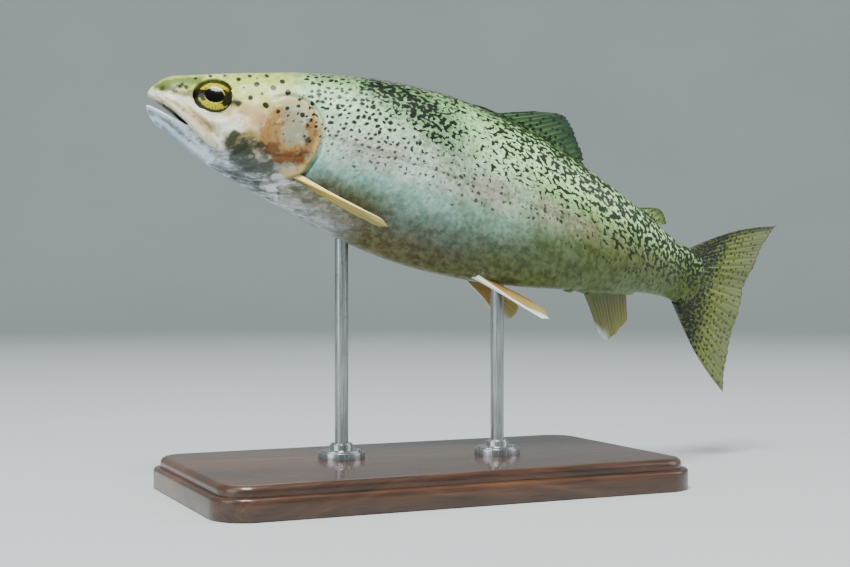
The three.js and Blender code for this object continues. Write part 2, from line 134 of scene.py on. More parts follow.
def bend(points):
    """Straight points, as rows of x, y, z, carried onto the swimming spine."""
    at = np.clip(points[:, 0], 0, TOTAL_LENGTH + PAST_TAIL - 2)
    step = at.astype(int)
    share = (at - step)[:, None]
    x, y = (spine[step] * (1 - share) + spine[step + 1] * share).T
    turn = np.radians(heading(at))
    ahead = points[:, 0] - at
    x = x + ahead * np.cos(turn) - points[:, 1] * np.sin(turn)
    y = y + ahead * np.sin(turn) + points[:, 1] * np.cos(turn)
    return np.stack([x, y, points[:, 2]], 1)


print("the spine ends", spine[TOTAL_LENGTH].round(1), "mm from the snout, seen from above")

# %% [markdown]
# ## The body's sections
#
# Across, a trout is a rounded oval: fuller over the back than under the belly. Each station gives the
# heights of the back and the belly, the half width, and the height where the body is widest.

# %% Stations from the snout to the tail
STATIONS = [  # along, top, bottom, half width, height of the widest point
    (0, 4.6, -10.6, 7.2, -3.2),
    (8, 7.4, -13.0, 9.4, -3.0),
    (20, 12.0, -17.8, 12.0, -2.8),
    (34, 17.2, -22.0, 14.6, -2.6),
    (62, 26.2, -28.4, 17.6, -2.2),
    (85, 31.2, -33.0, 18.6, -1.6),
    (110, 33.2, -34.8, 18.6, -1.0),
    (135, 31.3, -33.2, 17.4, -0.6),
    (160, 27.0, -28.8, 14.8, -0.4),
    (185, 21.8, -22.8, 11.6, 0),
    (210, 17.2, -17.0, 8.4, 0),
    (235, 13.5, -12.9, 5.8, 0),
    (247, 12.5, -11.8, 4.5, 0),
    (BODY_END, 13.2, -12.6, 3.0, 0),
]
NOSE = 8  # the length over which the snout rounds off
UPPER_POWER, LOWER_POWER = 2.35, 2.05  # how full back and belly are: 2 is an ellipse
profiles = (curve_through([(row[0], row[i]) for row in STATIONS]) for i in (1, 2, 3, 4))
top, bottom, half_width, widest = profiles


def half_section(x, above):
    """Height of the widest point, reach from there to the back or the belly, and that half's power."""
    mid = widest(x)
    reach = np.where(above, top(x) - mid, mid - bottom(x))
    return mid, reach, np.where(above, UPPER_POWER, LOWER_POWER)


def section_share(x, y, z):
    """How far out a point lies in its section: 0 in the middle, 1 on the body's side."""
    mid, reach, power = half_section(x, z >= widest(x))
    return ((np.abs(y) / half_width(x)) ** power + (np.abs(z - mid) / reach) ** power) ** (1 / power)


def side_at(x, z):
    """How far the body's side is from the middle plane, at a place along it and a height."""
    mid, reach, power = half_section(x, z >= widest(x))
    return half_width(x) * (1 - min(abs(z - mid) / reach, 1) ** power) ** (1 / power)


turn_pose = Matrix.Rotation(PITCH, 3, "Y") @ Matrix.Rotation(BANK, 3, "X")
pose = np.array(turn_pose)
belly = {name: bend(np.array([[at, 0, bottom(at)]]))[0] @ pose.T for name, at in ROD_STATIONS.items()}
middle = (belly["front"] + belly["rear"]) / 2
snout = np.array([-middle[0], -middle[1], SNOUT_HEIGHT])


def to_room(points):
    """Points of the straight fish, in millimetres, where they are in the room, in metres."""
    return (bend(np.asarray(points, float)) @ pose.T + snout) * MM


print("snout at", snout.round(2), "mm; depth at 110 is", round(float(top(110) - bottom(110)), 1), "mm")

# %% [markdown]
# ## Where a place lies on the skin
#
# Scales grow in rows and spots sit on the skin, so both need a map of it. A place on the skin is given by
# x along the body and by its way down the flank: 0 on the ridge of the back, 1 under the belly, or the
# same as an arc in millimetres, negative on the left side. The tables below turn one into the other.

# %% Tables of the arc down the flank
TABLE_STEP = 2.0  # between stations
ANGLES = 181  # one for each degree from back to belly
table_x = np.arange(0, BODY_END + 16, TABLE_STEP)
table_angle = np.radians(np.linspace(90, -90, ANGLES))


def section_point(x, angle):
    """y and z of a section's right side, at an angle from 90 degrees, the back, to -90, the belly."""
    c, s = np.cos(angle), np.sin(angle)
    mid, reach, power = half_section(x, s >= 0)
    power = 2 / power
    return half_width(x) * np.abs(c) ** power, mid + reach * np.sign(s) * np.abs(s) ** power


table_y, table_z = section_point(table_x[:, None], table_angle[None, :])
arc = np.hypot(np.diff(table_y, axis=1), np.diff(table_z, axis=1)).cumsum(1)
arc = np.hstack([np.zeros((len(table_x), 1)), arc])
half_girth = arc[:, -1]
table_down = arc / half_girth[:, None]
even_down = np.linspace(0, 1, ANGLES)
angle_of_down = np.stack([np.interp(even_down, row, table_angle) for row in table_down])


def look_up(table, x, column):
    """A value between the entries of a table of (x, column)."""
    i = np.clip(x / TABLE_STEP, 0, len(table_x) - 1.001)
    k = np.clip(column, 0, table.shape[1] - 1.001)
    i0, k0 = i.astype(int), k.astype(int)
    a, b = i - i0, k - k0
    low = table[i0, k0] * (1 - b) + table[i0, k0 + 1] * b
    high = table[i0 + 1, k0] * (1 - b) + table[i0 + 1, k0 + 1] * b
    return low * (1 - a) + high * a


def lie_of(points):
    """x, arc and way down the flank of points on or near the skin."""
    x, y, z = np.asarray(points, float).T
    mid, reach, power = half_section(x, z >= widest(x))
    out = (np.abs(y) / half_width(x)) ** (power / 2)
    up = np.sign(z - mid) * (np.abs(z - mid) / reach) ** (power / 2)
    down = look_up(table_down, x, 90 - np.degrees(np.arctan2(up, out)))
    girth = np.interp(np.maximum(x, 16), table_x, half_girth)
    return np.stack([x, down * girth * np.where(y < 0, -1, 1), down], 1)


def on_body(x, down, side):
    """Points on the plain body, from x and the way down the flank."""
    y, z = section_point(x, look_up(angle_of_down, x, down * (ANGLES - 1)))
    return np.stack([x, side * y, z], 1)


print("the girth at its greatest is", round(2 * half_girth.max()), "mm")

# %% [markdown]
# ## The skin as one surface
#
# A head like this, with its open mouth, gill slits, sockets and plates, could be sculpted by hand, or cut
# and joined from many meshes. Both leave seams, and joints that crease. Here the flesh is worked out as a
# field instead: each point of a grid holds its distance from the skin, less than 0 inside. Fields blend
# like clay. A smooth minimum adds a lump with a soft fillet, a smooth maximum carves, and taking a little
# off the distance raises a plate. The grid is fine in the head and coarser along the body, only its
# right half is worked out, and the left half is its mirror.

# %% The grid and the plain body's field
FINE, COARSE = 0.42, 1.1
COAT_DEPTH = 0.2  # the skin of the scaled body lies this far in
FARTHEST = 8  # distances inside the body are cut off here

grid_x = [-2.6]
while grid_x[-1] < BODY_END + 14:
    grid_x.append(grid_x[-1] + FINE + (COARSE - FINE) * float(smooth_step(grid_x[-1], 60, 72)))
grid_x = np.array(grid_x)
grid_y = np.arange(0, 22, FINE)
grid_z = np.arange(-39, 38, FINE)
axes = (grid_x, grid_y, grid_z)


def near(low, high):
    """The part of the grid between two corners: its slices, and its x, y and z ready to combine."""
    cut = tuple(slice(*np.searchsorted(axis, (a, b))) for axis, a, b in zip(axes, low, high))
    x, y, z = (axis[c] for axis, c in zip(axes, cut))
    return cut, x[:, None, None], y[None, :, None], z[None, None, :]


x, y, z = grid_x[:, None, None], grid_y[None, :, None], grid_z[None, None, :]
nose = np.clip(1 - x / NOSE, 0, None)
body_end = np.clip((x - BODY_END + 3) / 12, 0, None)
share = np.sqrt(section_share(x, y, z) ** 2 + nose**2 + body_end**2).astype(np.float32)
steepness = np.sqrt(sum(g**2 for g in np.gradient(share, *axes)))
flesh = np.maximum((share - 1) / np.maximum(steepness, 1e-3), -FARTHEST).astype(np.float32)
flesh += COAT_DEPTH * smooth_step(x, 50, 66).astype(np.float32)
plain = flesh.copy()
print("grid:", flesh.shape, "points:", flesh.size)

# %% [markdown]
# ## Blending and carving the field
#
# The lumps of flesh at the fins' roots come next. An ellipsoid's distance is not exact, but it is close
# enough near its own skin, which is all that a blend needs. The ridges that carry the dorsal, adipose
# and anal fins are long, thin lumps, so they are ellipsoids too.

# %% Lumps of flesh at the fins' roots
def soft_min(a, b, blend):
    """The lower of two fields, with a fillet as wide as blend."""
    share = np.clip(0.5 + 0.5 * (b - a) / blend, 0, 1)
    return b + (a - b) * share - blend * share * (1 - share)


def ellipsoid(x, y, z, centre, radii):
    """Roughly the distance from an ellipsoid."""
    gap = [(axis - c) / r for axis, c, r in zip((x, y, z), centre, radii)]
    near_one = np.sqrt(sum(g**2 for g in gap))
    slope = np.sqrt(sum((g / r) ** 2 for g, r in zip(gap, radii)))
    return near_one * (near_one - 1) / np.maximum(slope, 1e-4)


def add_lump(centre, radii, blend, sign=1):
    """Blends an ellipsoid into the flesh, or out of it where sign is -1."""
    reach = np.array(radii) + 2 * blend + 1
    cut, x, y, z = near(np.array(centre) - reach, np.array(centre) + reach)
    flesh[cut] = sign * soft_min(sign * flesh[cut], ellipsoid(x, y, z, centre, radii), blend)


def carve(centre, radii, blend):
    add_lump(centre, radii, blend, -1)


LUMPS = [  # centre, radii, blend
    ((60.5, 13.0, -15.6), (4.5, 2.6, 2.6), 2.0),  # the pectoral fin's shoulder
    ((140.5, 5.8, -30.0), (5.0, 2.4, 2.2), 2.0),  # the pelvic fin's root
    ((142.5, 8.0, -28.6), (4.2, 0.8, 1.0), 0.8),  # the small pointed lobe above it
    ((181.5, 0, -23.4), (2.6, 1.6, 1.4), 1.6),  # the vent
]
RIDGES = [  # from, to, surface, radius
    (121, 168, top, 1.5),
    (205, 220, top, 1.1),
    (186, 215, bottom, 1.4),
]
for centre, radii, blend in LUMPS:
    add_lump(centre, radii, blend)
RIDGE_STEP, SUNK = 4.0, 0.985  # between the lumps of a ridge, and the share of the height they lie at
for start, end, surface, radius in RIDGES:
    for at in np.arange(start, end, RIDGE_STEP) + RIDGE_STEP / 2:
        add_lump((at, 0, float(surface(at)) * SUNK), (4.5, radius, radius), 1.6)
print("lumps and ridges:", len(LUMPS), "and", len(RIDGES))

# %% [markdown]
# ## Relief on the head
#
# Most of the head's detail is low relief on its side: the maxilla lies over the mouth's edge, the gill
# cover's plates overlap with fine grooves between them, and the cheek is a ring of thin plates. Each is
# drawn once on the side view, as a line with a width and a height. Taking the height off the field
# raises the skin there on both sides, and a height below 0 cuts a groove.

# %% Lines and outlines on the side view
def distance_to_line(line, x, z):
    """Distance from a line on the side view, and the share of the way along it."""
    best = np.full(np.broadcast(x, z).shape, 1e3)
    along = np.zeros_like(best)
    count = len(line) - 1
    for i, ((ax, az), (bx, bz)) in enumerate(zip(line[:-1], line[1:])):
        dx, dz = bx - ax, bz - az
        u = np.clip(((x - ax) * dx + (z - az) * dz) / (dx * dx + dz * dz), 0, 1)
        gap = np.hypot(x - ax - u * dx, z - az - u * dz)
        closer = gap < best
        best = np.where(closer, gap, best)
        along = np.where(closer, (i + u) / count, along)
    return best, along


def depth_inside(outline, x, z):
    """Distance inside a closed outline, less than 0 outside it."""
    gap, _ = distance_to_line(np.vstack([outline, outline[:1]]), x, z)
    inside = np.zeros(gap.shape, bool)
    for (ax, az), (bx, bz) in zip(outline, np.roll(outline, -1, 0)):
        crosses = (az > z) != (bz > z)
        inside ^= crosses & (x < ax + (z - az) * (bx - ax) / (bz - az + 1e-12))
    return np.where(inside, gap, -gap)


GILL_CENTRE = (50, -5.2)
GILL_REACH = [16, 17.4, 18, 16.4, 13, 11, 11.4, 13.4, 15.4, 14.8, 15, 15.8]  # every 30 degrees, rear first
clock = np.arange(-1, 13)  # twelve points round, and one more at each end for the spline
gill_turns = np.radians(clock * 30)
gill_ring = np.stack([np.cos(gill_turns), np.sin(gill_turns)], 1) * np.take(GILL_REACH, clock % 12)[:, None]
gill_outline = smooth_line(gill_ring + GILL_CENTRE, 14 * 8 + 1)[8:-9]
MAXILLA = smooth_line([(3.8, -1.4), (12, -4.2), (21, -8.5), (30.6, -14.2)], 30)
UPPER_LIP = curve_through([(0, -2.9), (8, -4.9), (16, -8.1), (24, -12.3), (31, -16.2)])
GAPE = curve_through([(0, 3.0), (6, 2.8), (12, 2.0), (17, 0.7), (20, -0.3), (31, -1.2)])
MOUTH_CORNER = 30.5
EYE = {"at": 24.9, "up": 2.8, "sink": 2.5, "radii": (8.4, 3.7, 6.9), "turn": 12}
EYE_OPENING = 0.74  # the share of the ball's radii that shows


def eye_ring(x, z):
    """Distance from the eye's middle, where 1 is the edge of what shows."""
    return np.hypot((x - EYE["at"]) / EYE["radii"][0], (z - EYE["up"]) / EYE["radii"][2]) / EYE_OPENING


def maxilla_width(u):
    return (0.9 + 1.4 * np.sin(u * np.pi / 2)) * np.sqrt(1 - u**8) + 0.1


print("gill cover reaches back to", round(float(gill_outline[:, 0].max()), 1), "mm")

# %% Raise the plates and cut the grooves of the side view
LINES = [  # width, height (less than 0 cuts), points
    (0.75, -0.42, [(42.5, 8), (43.6, 1), (43.4, -6), (41, -11.5), (35.5, -16), (29, -18.6)]),  # preopercle
    (2.0, 0.4, [(40, 8.5), (40.6, 1), (40.2, -6), (37.6, -11), (33, -14.6)]),  # and its ridge
    (0.6, -0.35, [(46.5, -11.8), (53, -11), (59.5, -9), (64, -6)]),  # under the opercle
    (0.6, -0.3, [(45.5, -12.5), (42, -17.4), (35, -20.6)]),  # under the interopercle
    (0.7, -0.35, [(4, 0.8), (12, -1.9), (21, -5.8), (29.5, -10.6)]),  # above the maxilla
    (0.5, -0.2, [(34.5, 0.4), (37, -0.2), (39.8, -0.4)]),  # between the cheek's plates
    (0.5, -0.2, [(33, -4.4), (36, -5.8), (39.4, -6.6)]),
    (0.5, -0.2, [(29.5, -7.2), (32, -9.6), (36.5, -12)]),
    (1.1, 0.35, [(15.6, 3), (17.4, -2.6), (22, -6), (27.5, -6.4), (32.4, -3), (34, 2)]),  # under the eye
    (1.2, 0.35, [(17.5, 9.4), (24.5, 11.4), (32, 8.6)]),  # brow
    (1.8, -0.25, [(9.5, 3.4), (15.2, 3)]),  # hollow of the nostrils
    (0.5, -0.55, [(15, -8.4), (20, -10.7), (25, -13.4), (31, -16.8)]),  # where the mouth is shut
    (0.6, -0.32, [(3, -8.0), (9, -9.6), (16, -12.2), (23, -15.6)]),  # fold under the lower lip
    (0.8, -0.35, [(7, -11.4), (12, -13), (20, -16.4), (27, -19.6)]),  # under the jaw bone
    (1.2, 0.3, [(44, 9.8), (50, 12.2), (56, 11.4)]),  # above the gill cover
]


def bell(distance, width):
    """1 where the distance is 0, and a soft fall to 0 on both sides."""
    return np.exp(-((distance / width) ** 2))


cut, x, y, z = near((-3, -1, -39), (70, 22, 38))
side_x, side_z = grid_x[cut[0]][:, None], grid_z[cut[2]][None, :]
relief = np.zeros(np.broadcast(side_x, side_z).shape)
for width, height, points in LINES:
    gap, along = distance_to_line(smooth_line(points, 16), side_x, side_z)
    ends = smooth_step(along, 0, 0.12) * (1 - smooth_step(along, 0.88, 1))
    relief += height * bell(gap, width) * np.clip(ends, 0.15, 1)

blade, along = distance_to_line(MAXILLA, side_x, side_z)
relief += 0.75 * smooth_step(maxilla_width(along) - blade, -0.25, 0.45)
cover = depth_inside(gill_outline, side_x, side_z)
rear = smooth_step(side_x + 0.25 * side_z, 46, 57)
relief += 0.85 * smooth_step(cover, -0.2, 0.6) * rear
relief += 0.35 * smooth_step(cover, 1.5, 6) * rear  # the cover bulges a little
relief -= 1.5 * bell(cover + 0.75, 0.62) * smooth_step(side_x + 0.3 * side_z, 46, 54)  # its slit
above_lip = side_z - UPPER_LIP(side_x)
below_lip = -above_lip - GAPE(side_x)
for band in (above_lip, below_lip):
    relief += 0.45 * bell(band - 0.8, 0.9) * (1 - smooth_step(side_x, 24, 29))  # the lips' rolls
relief += 0.3 * bell(eye_ring(side_x, side_z) - 1.12, 0.08)  # the rim of the lid
flank = smooth_step(y, 1.0, 4.0)
flesh[cut] -= (relief[:, None, :] * flank).astype(np.float32)
print("relief from", relief.min().round(2), "to", relief.max().round(2), "mm")

# %% [markdown]
# ## Mouth, throat, sockets and nostrils
#
# These go deeper than relief. The open mouth is a wedge between the two lips, with a hollow behind it for
# the mouth's inside and a tongue. Under the head the two gill membranes meet in front, and the
# branchiostegal rays that stiffen them show as ribs. The sockets are the eyeballs' own shape, a little
# larger, and each nostril is a pair of small pits.

# %% Carve the mouth, the throat, the sockets and the nostrils
gape = np.minimum(-above_lip, -below_lip)
gape = np.where(side_x < MOUTH_CORNER, gape, -1)[:, None, :] + 0 * y
flesh[cut] = -soft_min(-flesh[cut], -gape.astype(np.float32), 0.9)
carve((14.5, 0, -8.2), (10, 5.6, 3.0), 1.2)  # the mouth's inside
add_lump((15, 0, -11.3), (7, 3.0, 1.9), 0.8)  # the tongue

RAY_GAP = 1.6  # from one branchiostegal ray to the next
THROAT_EDGE = curve_through([(24, 0.6), (32, 2.2), (40, 4.8), (47, 8.2), (54, 12)])
throat_x, throat_y = grid_x[cut[0]][:, None], grid_y[cut[1]][None, :]
from_edge = (throat_y - THROAT_EDGE(throat_x)) * 0.93
inside_throat = smooth_step(throat_x, 24, 29) * (1 - smooth_step(throat_x, 50, 56))
ribs = 0.28 * (0.5 + 0.5 * np.cos(2 * np.pi * from_edge / RAY_GAP)) * smooth_step(from_edge, 0, 0.6)
ribs -= 1.0 * bell(from_edge + 0.5, 0.6)
jaw_fold = 0.35 * bell(throat_y - 2.2 - 0.2 * throat_x, 0.7) * (1 - smooth_step(throat_x, 24, 30))
under = smooth_step(-z - 0.24 * x, 6.5, 9.5)
flesh[cut] -= ((ribs * inside_throat - jaw_fold)[:, :, None] * under).astype(np.float32)

socket_y = side_at(EYE["at"], EYE["up"]) - EYE["sink"]
add_lump((EYE["at"] + 0.3, socket_y - 2.4, EYE["up"]), (9.2, 4.6, 8.6), 2.5)
carve((EYE["at"], socket_y, EYE["up"]), [r + 0.15 for r in EYE["radii"]], 0.8)
NOSTRILS = ((11.2, 3.3, 0.62), (13.4, 3.5, 0.85))  # along, up, radius
for at, up, radius in NOSTRILS:
    carve((at, float(side_at(at, up)) - 0.1, up), (radius, 1.5, radius * 0.8), 0.3)
print("mouth opens", round(float(GAPE(0)), 1), "mm at the lips")

# %% [markdown]
# ## From field to mesh
#
# The surface where the distance is 0 becomes a mesh of quads. OpenVDB, which Blender carries for its
# volumes, does that in a blink. Each point is read back from the grid's own places to millimetres, then
# bent into the swim and set in the room. The mesh also keeps, as attributes, where each point lay on
# the straight fish, so that the paint can follow the body however it bends.

# %% Make the skin's mesh
def sample(field, points):
    """The field's value at points of the straight fish, between the grid's own points."""
    where = np.stack([points[:, 0], np.abs(points[:, 1]), points[:, 2]], 1)
    index, part = [], []
    for k, axis in enumerate(axes):
        i = np.interp(where[:, k], axis, np.arange(len(axis)))
        i = np.minimum(i, len(axis) - 1.001)
        index.append(i.astype(int))
        part.append(i - i.astype(int))
    total = 0
    for corner in range(8):
        pick = [(corner >> k) & 1 for k in range(3)]
        weight = np.prod([p if up else 1 - p for p, up in zip(part, pick)], 0)
        total = total + weight * field[tuple(i + up for i, up in zip(index, pick))]
    return total


def mesh_from(name, points, faces):
    """A mesh object from arrays: points in metres, and rows of 3 or 4 corners."""
    mesh = bpy.data.meshes.new(name)
    mesh.vertices.add(len(points))
    mesh.vertices.foreach_set("co", np.ascontiguousarray(points, np.float32).ravel())
    mesh.loops.add(faces.size)
    mesh.loops.foreach_set("vertex_index", np.ascontiguousarray(faces, np.int32).ravel())
    mesh.polygons.add(len(faces))
    mesh.polygons.foreach_set("loop_start", np.arange(0, faces.size, faces.shape[1], dtype=np.int32))
    mesh.polygons.foreach_set("use_smooth", np.ones(len(faces), bool))
    mesh.update(calc_edges=True)
    mesh.validate()
    piece = bpy.data.objects.new(name, mesh)
    bpy.context.scene.collection.objects.link(piece)
    return piece


def move_points(piece, points):
    """Sets a piece's points, given on the straight fish."""
    piece.data.vertices.foreach_set("co", to_room(points).astype(np.float32).ravel())
    piece.data.update()


def note(piece, name, values):
    """Keeps values, one number or one vector for each point, as an attribute of a piece."""
    kind, key = ("FLOAT_VECTOR", "vector") if values.ndim == 2 else ("FLOAT", "value")
    attribute = piece.data.attributes.new(name, kind, "POINT")
    attribute.data.foreach_set(key, np.ascontiguousarray(values, np.float32).ravel())


whole = np.concatenate([flesh[:, :0:-1], flesh], 1)
OUTSIDE = 3.0  # how far from the skin the distances still count
grid = openvdb.FloatGrid(background=OUTSIDE)
grid.copyFromArray(np.clip(whole, -OUTSIDE, OUTSIDE))
places, _, quads = grid.convertToPolygons(isovalue=0.0, adaptivity=0.0)
straight = np.stack([
    np.interp(places[:, 0], np.arange(len(grid_x)), grid_x),
    (places[:, 1] - (len(grid_y) - 1)) * FINE,
    grid_z[0] + places[:, 2] * FINE,
], 1)
skin = mesh_from("skin", straight, quads)
print("skin:", len(places), "points,", len(quads), "quads")

# %% Thin the skin where it is flat, then bend it
SKIN_TRIANGLES = 190000


def apply(piece, kind, **settings):
    """Adds a modifier to a piece and applies it at once."""
    bpy.ops.object.select_all(action="DESELECT")
    bpy.context.view_layer.objects.active = piece
    modifier = piece.modifiers.new(kind.title(), kind)
    for key, value in settings.items():
        setattr(modifier, key, value)
    bpy.ops.object.modifier_apply(modifier=modifier.name)


def points_of(piece):
    points = np.zeros(len(piece.data.vertices) * 3, np.float32)
    piece.data.vertices.foreach_get("co", points)
    return points.reshape(-1, 3).astype(float)


apply(skin, "DECIMATE", ratio=SKIN_TRIANGLES / (2 * len(quads)))
straight = points_of(skin)
move_points(skin, straight)
note(skin, "lie", lie_of(straight))
# how deep each point lies inside the plain body, used for the painted shade in the head's hollows
note(skin, "depth", -sample(plain, straight))
print("skin:", sum(len(face.vertices) - 2 for face in skin.data.polygons), "triangles after thinning")

# %% [markdown]
# ## The scales
#
# A trout's scales are small: about 120 in a row along the side. Each one grows from a root in the skin
# and lies back over the roots behind it, like a shingle, and the rows are staggered. One scale is a thin
# lens of 20 triangles, with its rim marked sharp so that the upper face shades smoothly. It is laid out
# along the skin from its root, so it follows the body's curve. The head has no scales.

# %% One scale, and where its root may be
SCALE_PITCH, ROW_PITCH = 1.7, 0.88  # along a row, and from row to row
SCALE_LENGTH, SCALE_HALF = 2.75, 0.98
LATERAL_LINE = 0.47  # its way down the flank
HALF_OUTLINE = [(0.12, 0.6), (0.42, 0.97), (0.72, 0.86), (0.93, 0.48)]  # back from the root, and out
other_half = [(back, -out) for back, out in HALF_OUTLINE[::-1]]
SPINE_POINTS = [(0.36, 0), (0.74, 0)]
scale_plan = np.array([(0, 0), *HALF_OUTLINE, (1, 0), *other_half, *SPINE_POINTS])
PLAN_POINTS = len(scale_plan)
RIM_POINTS = PLAN_POINTS - len(SPINE_POINTS)
scale_lift = np.interp(scale_plan[:, 0], [0, 0.4, 1], [-0.12, 0.03, 0.14])
scale_lift[RIM_POINTS:] += 0.06
upper = [(0, 10, 1), (1, 10, 2), (2, 10, 11), (2, 11, 3), (3, 11, 4), (4, 11, 5)]
upper += [(0, 9, 10), (9, 8, 10), (8, 11, 10), (8, 7, 11), (7, 6, 11), (6, 5, 11)]
lower = [(0, 1, 9), (1, 2, 9), (2, 8, 9), (2, 3, 8), (3, 7, 8), (3, 4, 7), (4, 6, 7), (4, 5, 6)]
scale_faces = np.array(upper + lower)


def has_scale(x, down):
    """Whether a scale grows there: behind the head and the gill cover, up to the tail fin's root."""
    outside = True
    for reach, clear in ((0, 1.5), (SCALE_LENGTH, 0.8)):  # its root and its tip
        points = on_body(x + reach, down, np.ones(len(x)))
        outside = outside & (depth_inside(gill_outline, points[:, 0], points[:, 2]) < -clear)
    collar = np.interp(down, [0, 0.12, 0.3, 0.5, 0.8, 0.9, 1], [45, 46, 50, 60, 54, 57, 60])
    tail_edge = BODY_END + 3 + 5 * np.abs(1 - 2 * down) ** 2
    return outside & (x > collar) & (x < tail_edge)


def scale_roots(pick):
    """x, arc and row of each scale on one side."""
    rows = np.arange(-60, 70)
    columns = np.arange(44, BODY_END + 8, SCALE_PITCH)
    row, x = (part.ravel() for part in np.meshgrid(rows, columns, indexing="ij"))
    x = x + SCALE_PITCH / 2 * (row % 2) + pick.uniform(-0.12, 0.12, x.shape)
    girth = np.interp(x, table_x, half_girth)
    arc = LATERAL_LINE * girth + row * ROW_PITCH + pick.uniform(-0.05, 0.05, x.shape)
    keep = (arc > 0.1) & (arc < girth - 0.1)
    x, arc, row, girth = x[keep], arc[keep], row[keep], girth[keep]
    keep = has_scale(x, arc / girth)
    return x[keep], arc[keep], row[keep]


print("triangles in one scale:", len(scale_faces))

# %% Tools that set the scales on the skin
def out_of_skin(points):
    """The way out of the skin at points near it."""
    nudge = 0.5
    slope = np.zeros_like(points)
    for k in range(3):
        step = np.zeros(3)
        step[k] = nudge
        slope[:, k] = sample(flesh, points + step) - sample(flesh, points - step)
    return slope / np.maximum(np.linalg.norm(slope, axis=1, keepdims=True), 1e-6)


def onto_skin(points):
    """Points moved onto the skin, with the way out of it there."""
    for _ in range(2):
        out = out_of_skin(points)
        points = points - out * sample(flesh, points)[:, None]
    return points, out


def mark_rims(piece):
    """Marks each scale's rim sharp, so that its upper and lower faces shade apart."""
    ends = np.zeros(len(piece.data.edges) * 2, np.int32)
    piece.data.edges.foreach_get("vertices", ends)
    a, b = np.sort(ends.reshape(-1, 2) % PLAN_POINTS, 1).T
    rim = (b < RIM_POINTS) & ((b - a == 1) | (b - a == RIM_POINTS - 1))
    sharp = piece.data.attributes.new("sharp_edge", "BOOLEAN", "EDGE")
    sharp.data.foreach_set("value", rim)


def lay_out(piece, x, arc, side, back, out):
    """The map for the finish: each scale is a small patch at its root's place on the unrolled skin."""
    patch = 0.003
    u = 0.03 + 0.94 * x / (BODY_END + 12) + patch * (back / SCALE_LENGTH - 0.5)
    v = 0.5 + side * (0.01 + 0.47 * arc / half_girth.max()) + patch * out / (2 * SCALE_HALF)
    corners = np.zeros(len(piece.data.loops), np.int32)
    piece.data.loops.foreach_get("vertex_index", corners)
    layer = piece.data.uv_layers.new(name="OFBake")
    layer.data.foreach_set("uv", np.stack([u, v], 1)[corners].astype(np.float32).ravel())


test_spot, _ = onto_skin(on_body(np.array([100.0]), np.array([0.5]), 1))
print("the flank's skin at 100 mm is", round(float(test_spot[0, 1]), 1), "mm from the middle")

# %% Grow the scales on both sides
def grow_scales(name, side, pick):
    x, arc, row = scale_roots(pick)
    count = len(x)
    each_x, each_arc = np.repeat(x, PLAN_POINTS), np.repeat(arc, PLAN_POINTS)
    small = np.interp(x, [44, 60, 200, 262], [0.8, 1, 1, 0.86])[:, None]
    back = scale_plan[None, :, 0] * SCALE_LENGTH * small * pick.uniform(0.95, 1.05, (count, 1))
    out = scale_plan[None, :, 1] * SCALE_HALF * small * pick.uniform(0.95, 1.05, (count, 1))
    back, out = back.ravel(), out.ravel()
    at = each_x + back
    girth = np.interp(at, table_x, half_girth)
    way = (each_arc + out) / np.interp(each_x, table_x, half_girth)
    over = np.where(way < 0, -1, 1)  # a scale on the ridge reaches over to the other side
    way = np.abs(way)
    way = np.where(way > 1, 2 - way, way)
    base = on_body(at, way, side * over)
    place, outward = onto_skin(base)
    lift = np.tile(scale_lift, count) * np.repeat(pick.uniform(0.85, 1.15, count), PLAN_POINTS)
    on_spine = np.tile(np.arange(PLAN_POINTS) >= RIM_POINTS, count)
    pored = np.repeat(row == 0, PLAN_POINTS) & on_spine  # the lateral line's scales carry a pore
    place = place + outward * (lift + 0.1 * pored)[:, None]
    order = scale_faces if side > 0 else scale_faces[:, ::-1]
    faces = (np.arange(count)[:, None, None] * PLAN_POINTS + order[None]).reshape(-1, 3)
    piece = mesh_from(name, to_room(place), faces)
    note(piece, "lie", np.stack([at, way * girth * side * over, way], 1))
    note(piece, "tint", np.repeat(pick.uniform(0, 1, count), PLAN_POINTS))
    note(piece, "along_scale", np.tile(scale_plan[:, 0], count))
    mark_rims(piece)
    lay_out(piece, each_x, each_arc, side, back, out)
    print(name, count, "scales,", len(faces), "triangles")
    return piece


pick = np.random.default_rng(7)
scales = [grow_scales("scales_left", -1, pick), grow_scales("scales_right", 1, pick)]

# %% [markdown]
# ## The fins
#
# A fin is two thin sheets of skin over a fan of rays. The rays are bony, jointed, and fork on the way to
# the edge, the skin between them is thin, and the edge is slightly notched from ray to ray. Extruding
# rays one by one would leave hundreds of seams, so each fin is one closed shell: a middle surface from
# root to edge, with a thickness that swells along each ray and thins between them. The lines of root
# and edge are the same ones that the solids have.

# %% A shell for any fin
RAY_SAMPLES, LONG_SAMPLES = 9, 40  # across each ray's share of the fin, and from root to edge


def unit(vectors):
    return vectors / np.linalg.norm(vectors, axis=-1, keepdims=True)


def shell_faces(rows, columns):
    """The faces of two sheets of points, one over the other, closed along their rims."""
    count = rows * columns
    index = np.arange(count).reshape(rows, columns)
    a, b, c, d = index[:-1, :-1], index[1:, :-1], index[1:, 1:], index[:-1, 1:]
    front = np.stack([a, d, c, b], -1).reshape(-1, 4)
    back = np.stack([a, b, c, d], -1).reshape(-1, 4) + count
    rim = np.concatenate([index[0], index[1:, -1], index[-1, -2::-1], index[-2:0:-1, 0]])
    following = np.roll(rim, -1)
    sides = np.stack([rim, rim + count, following + count, following], -1)
    return np.concatenate([front, back, sides])


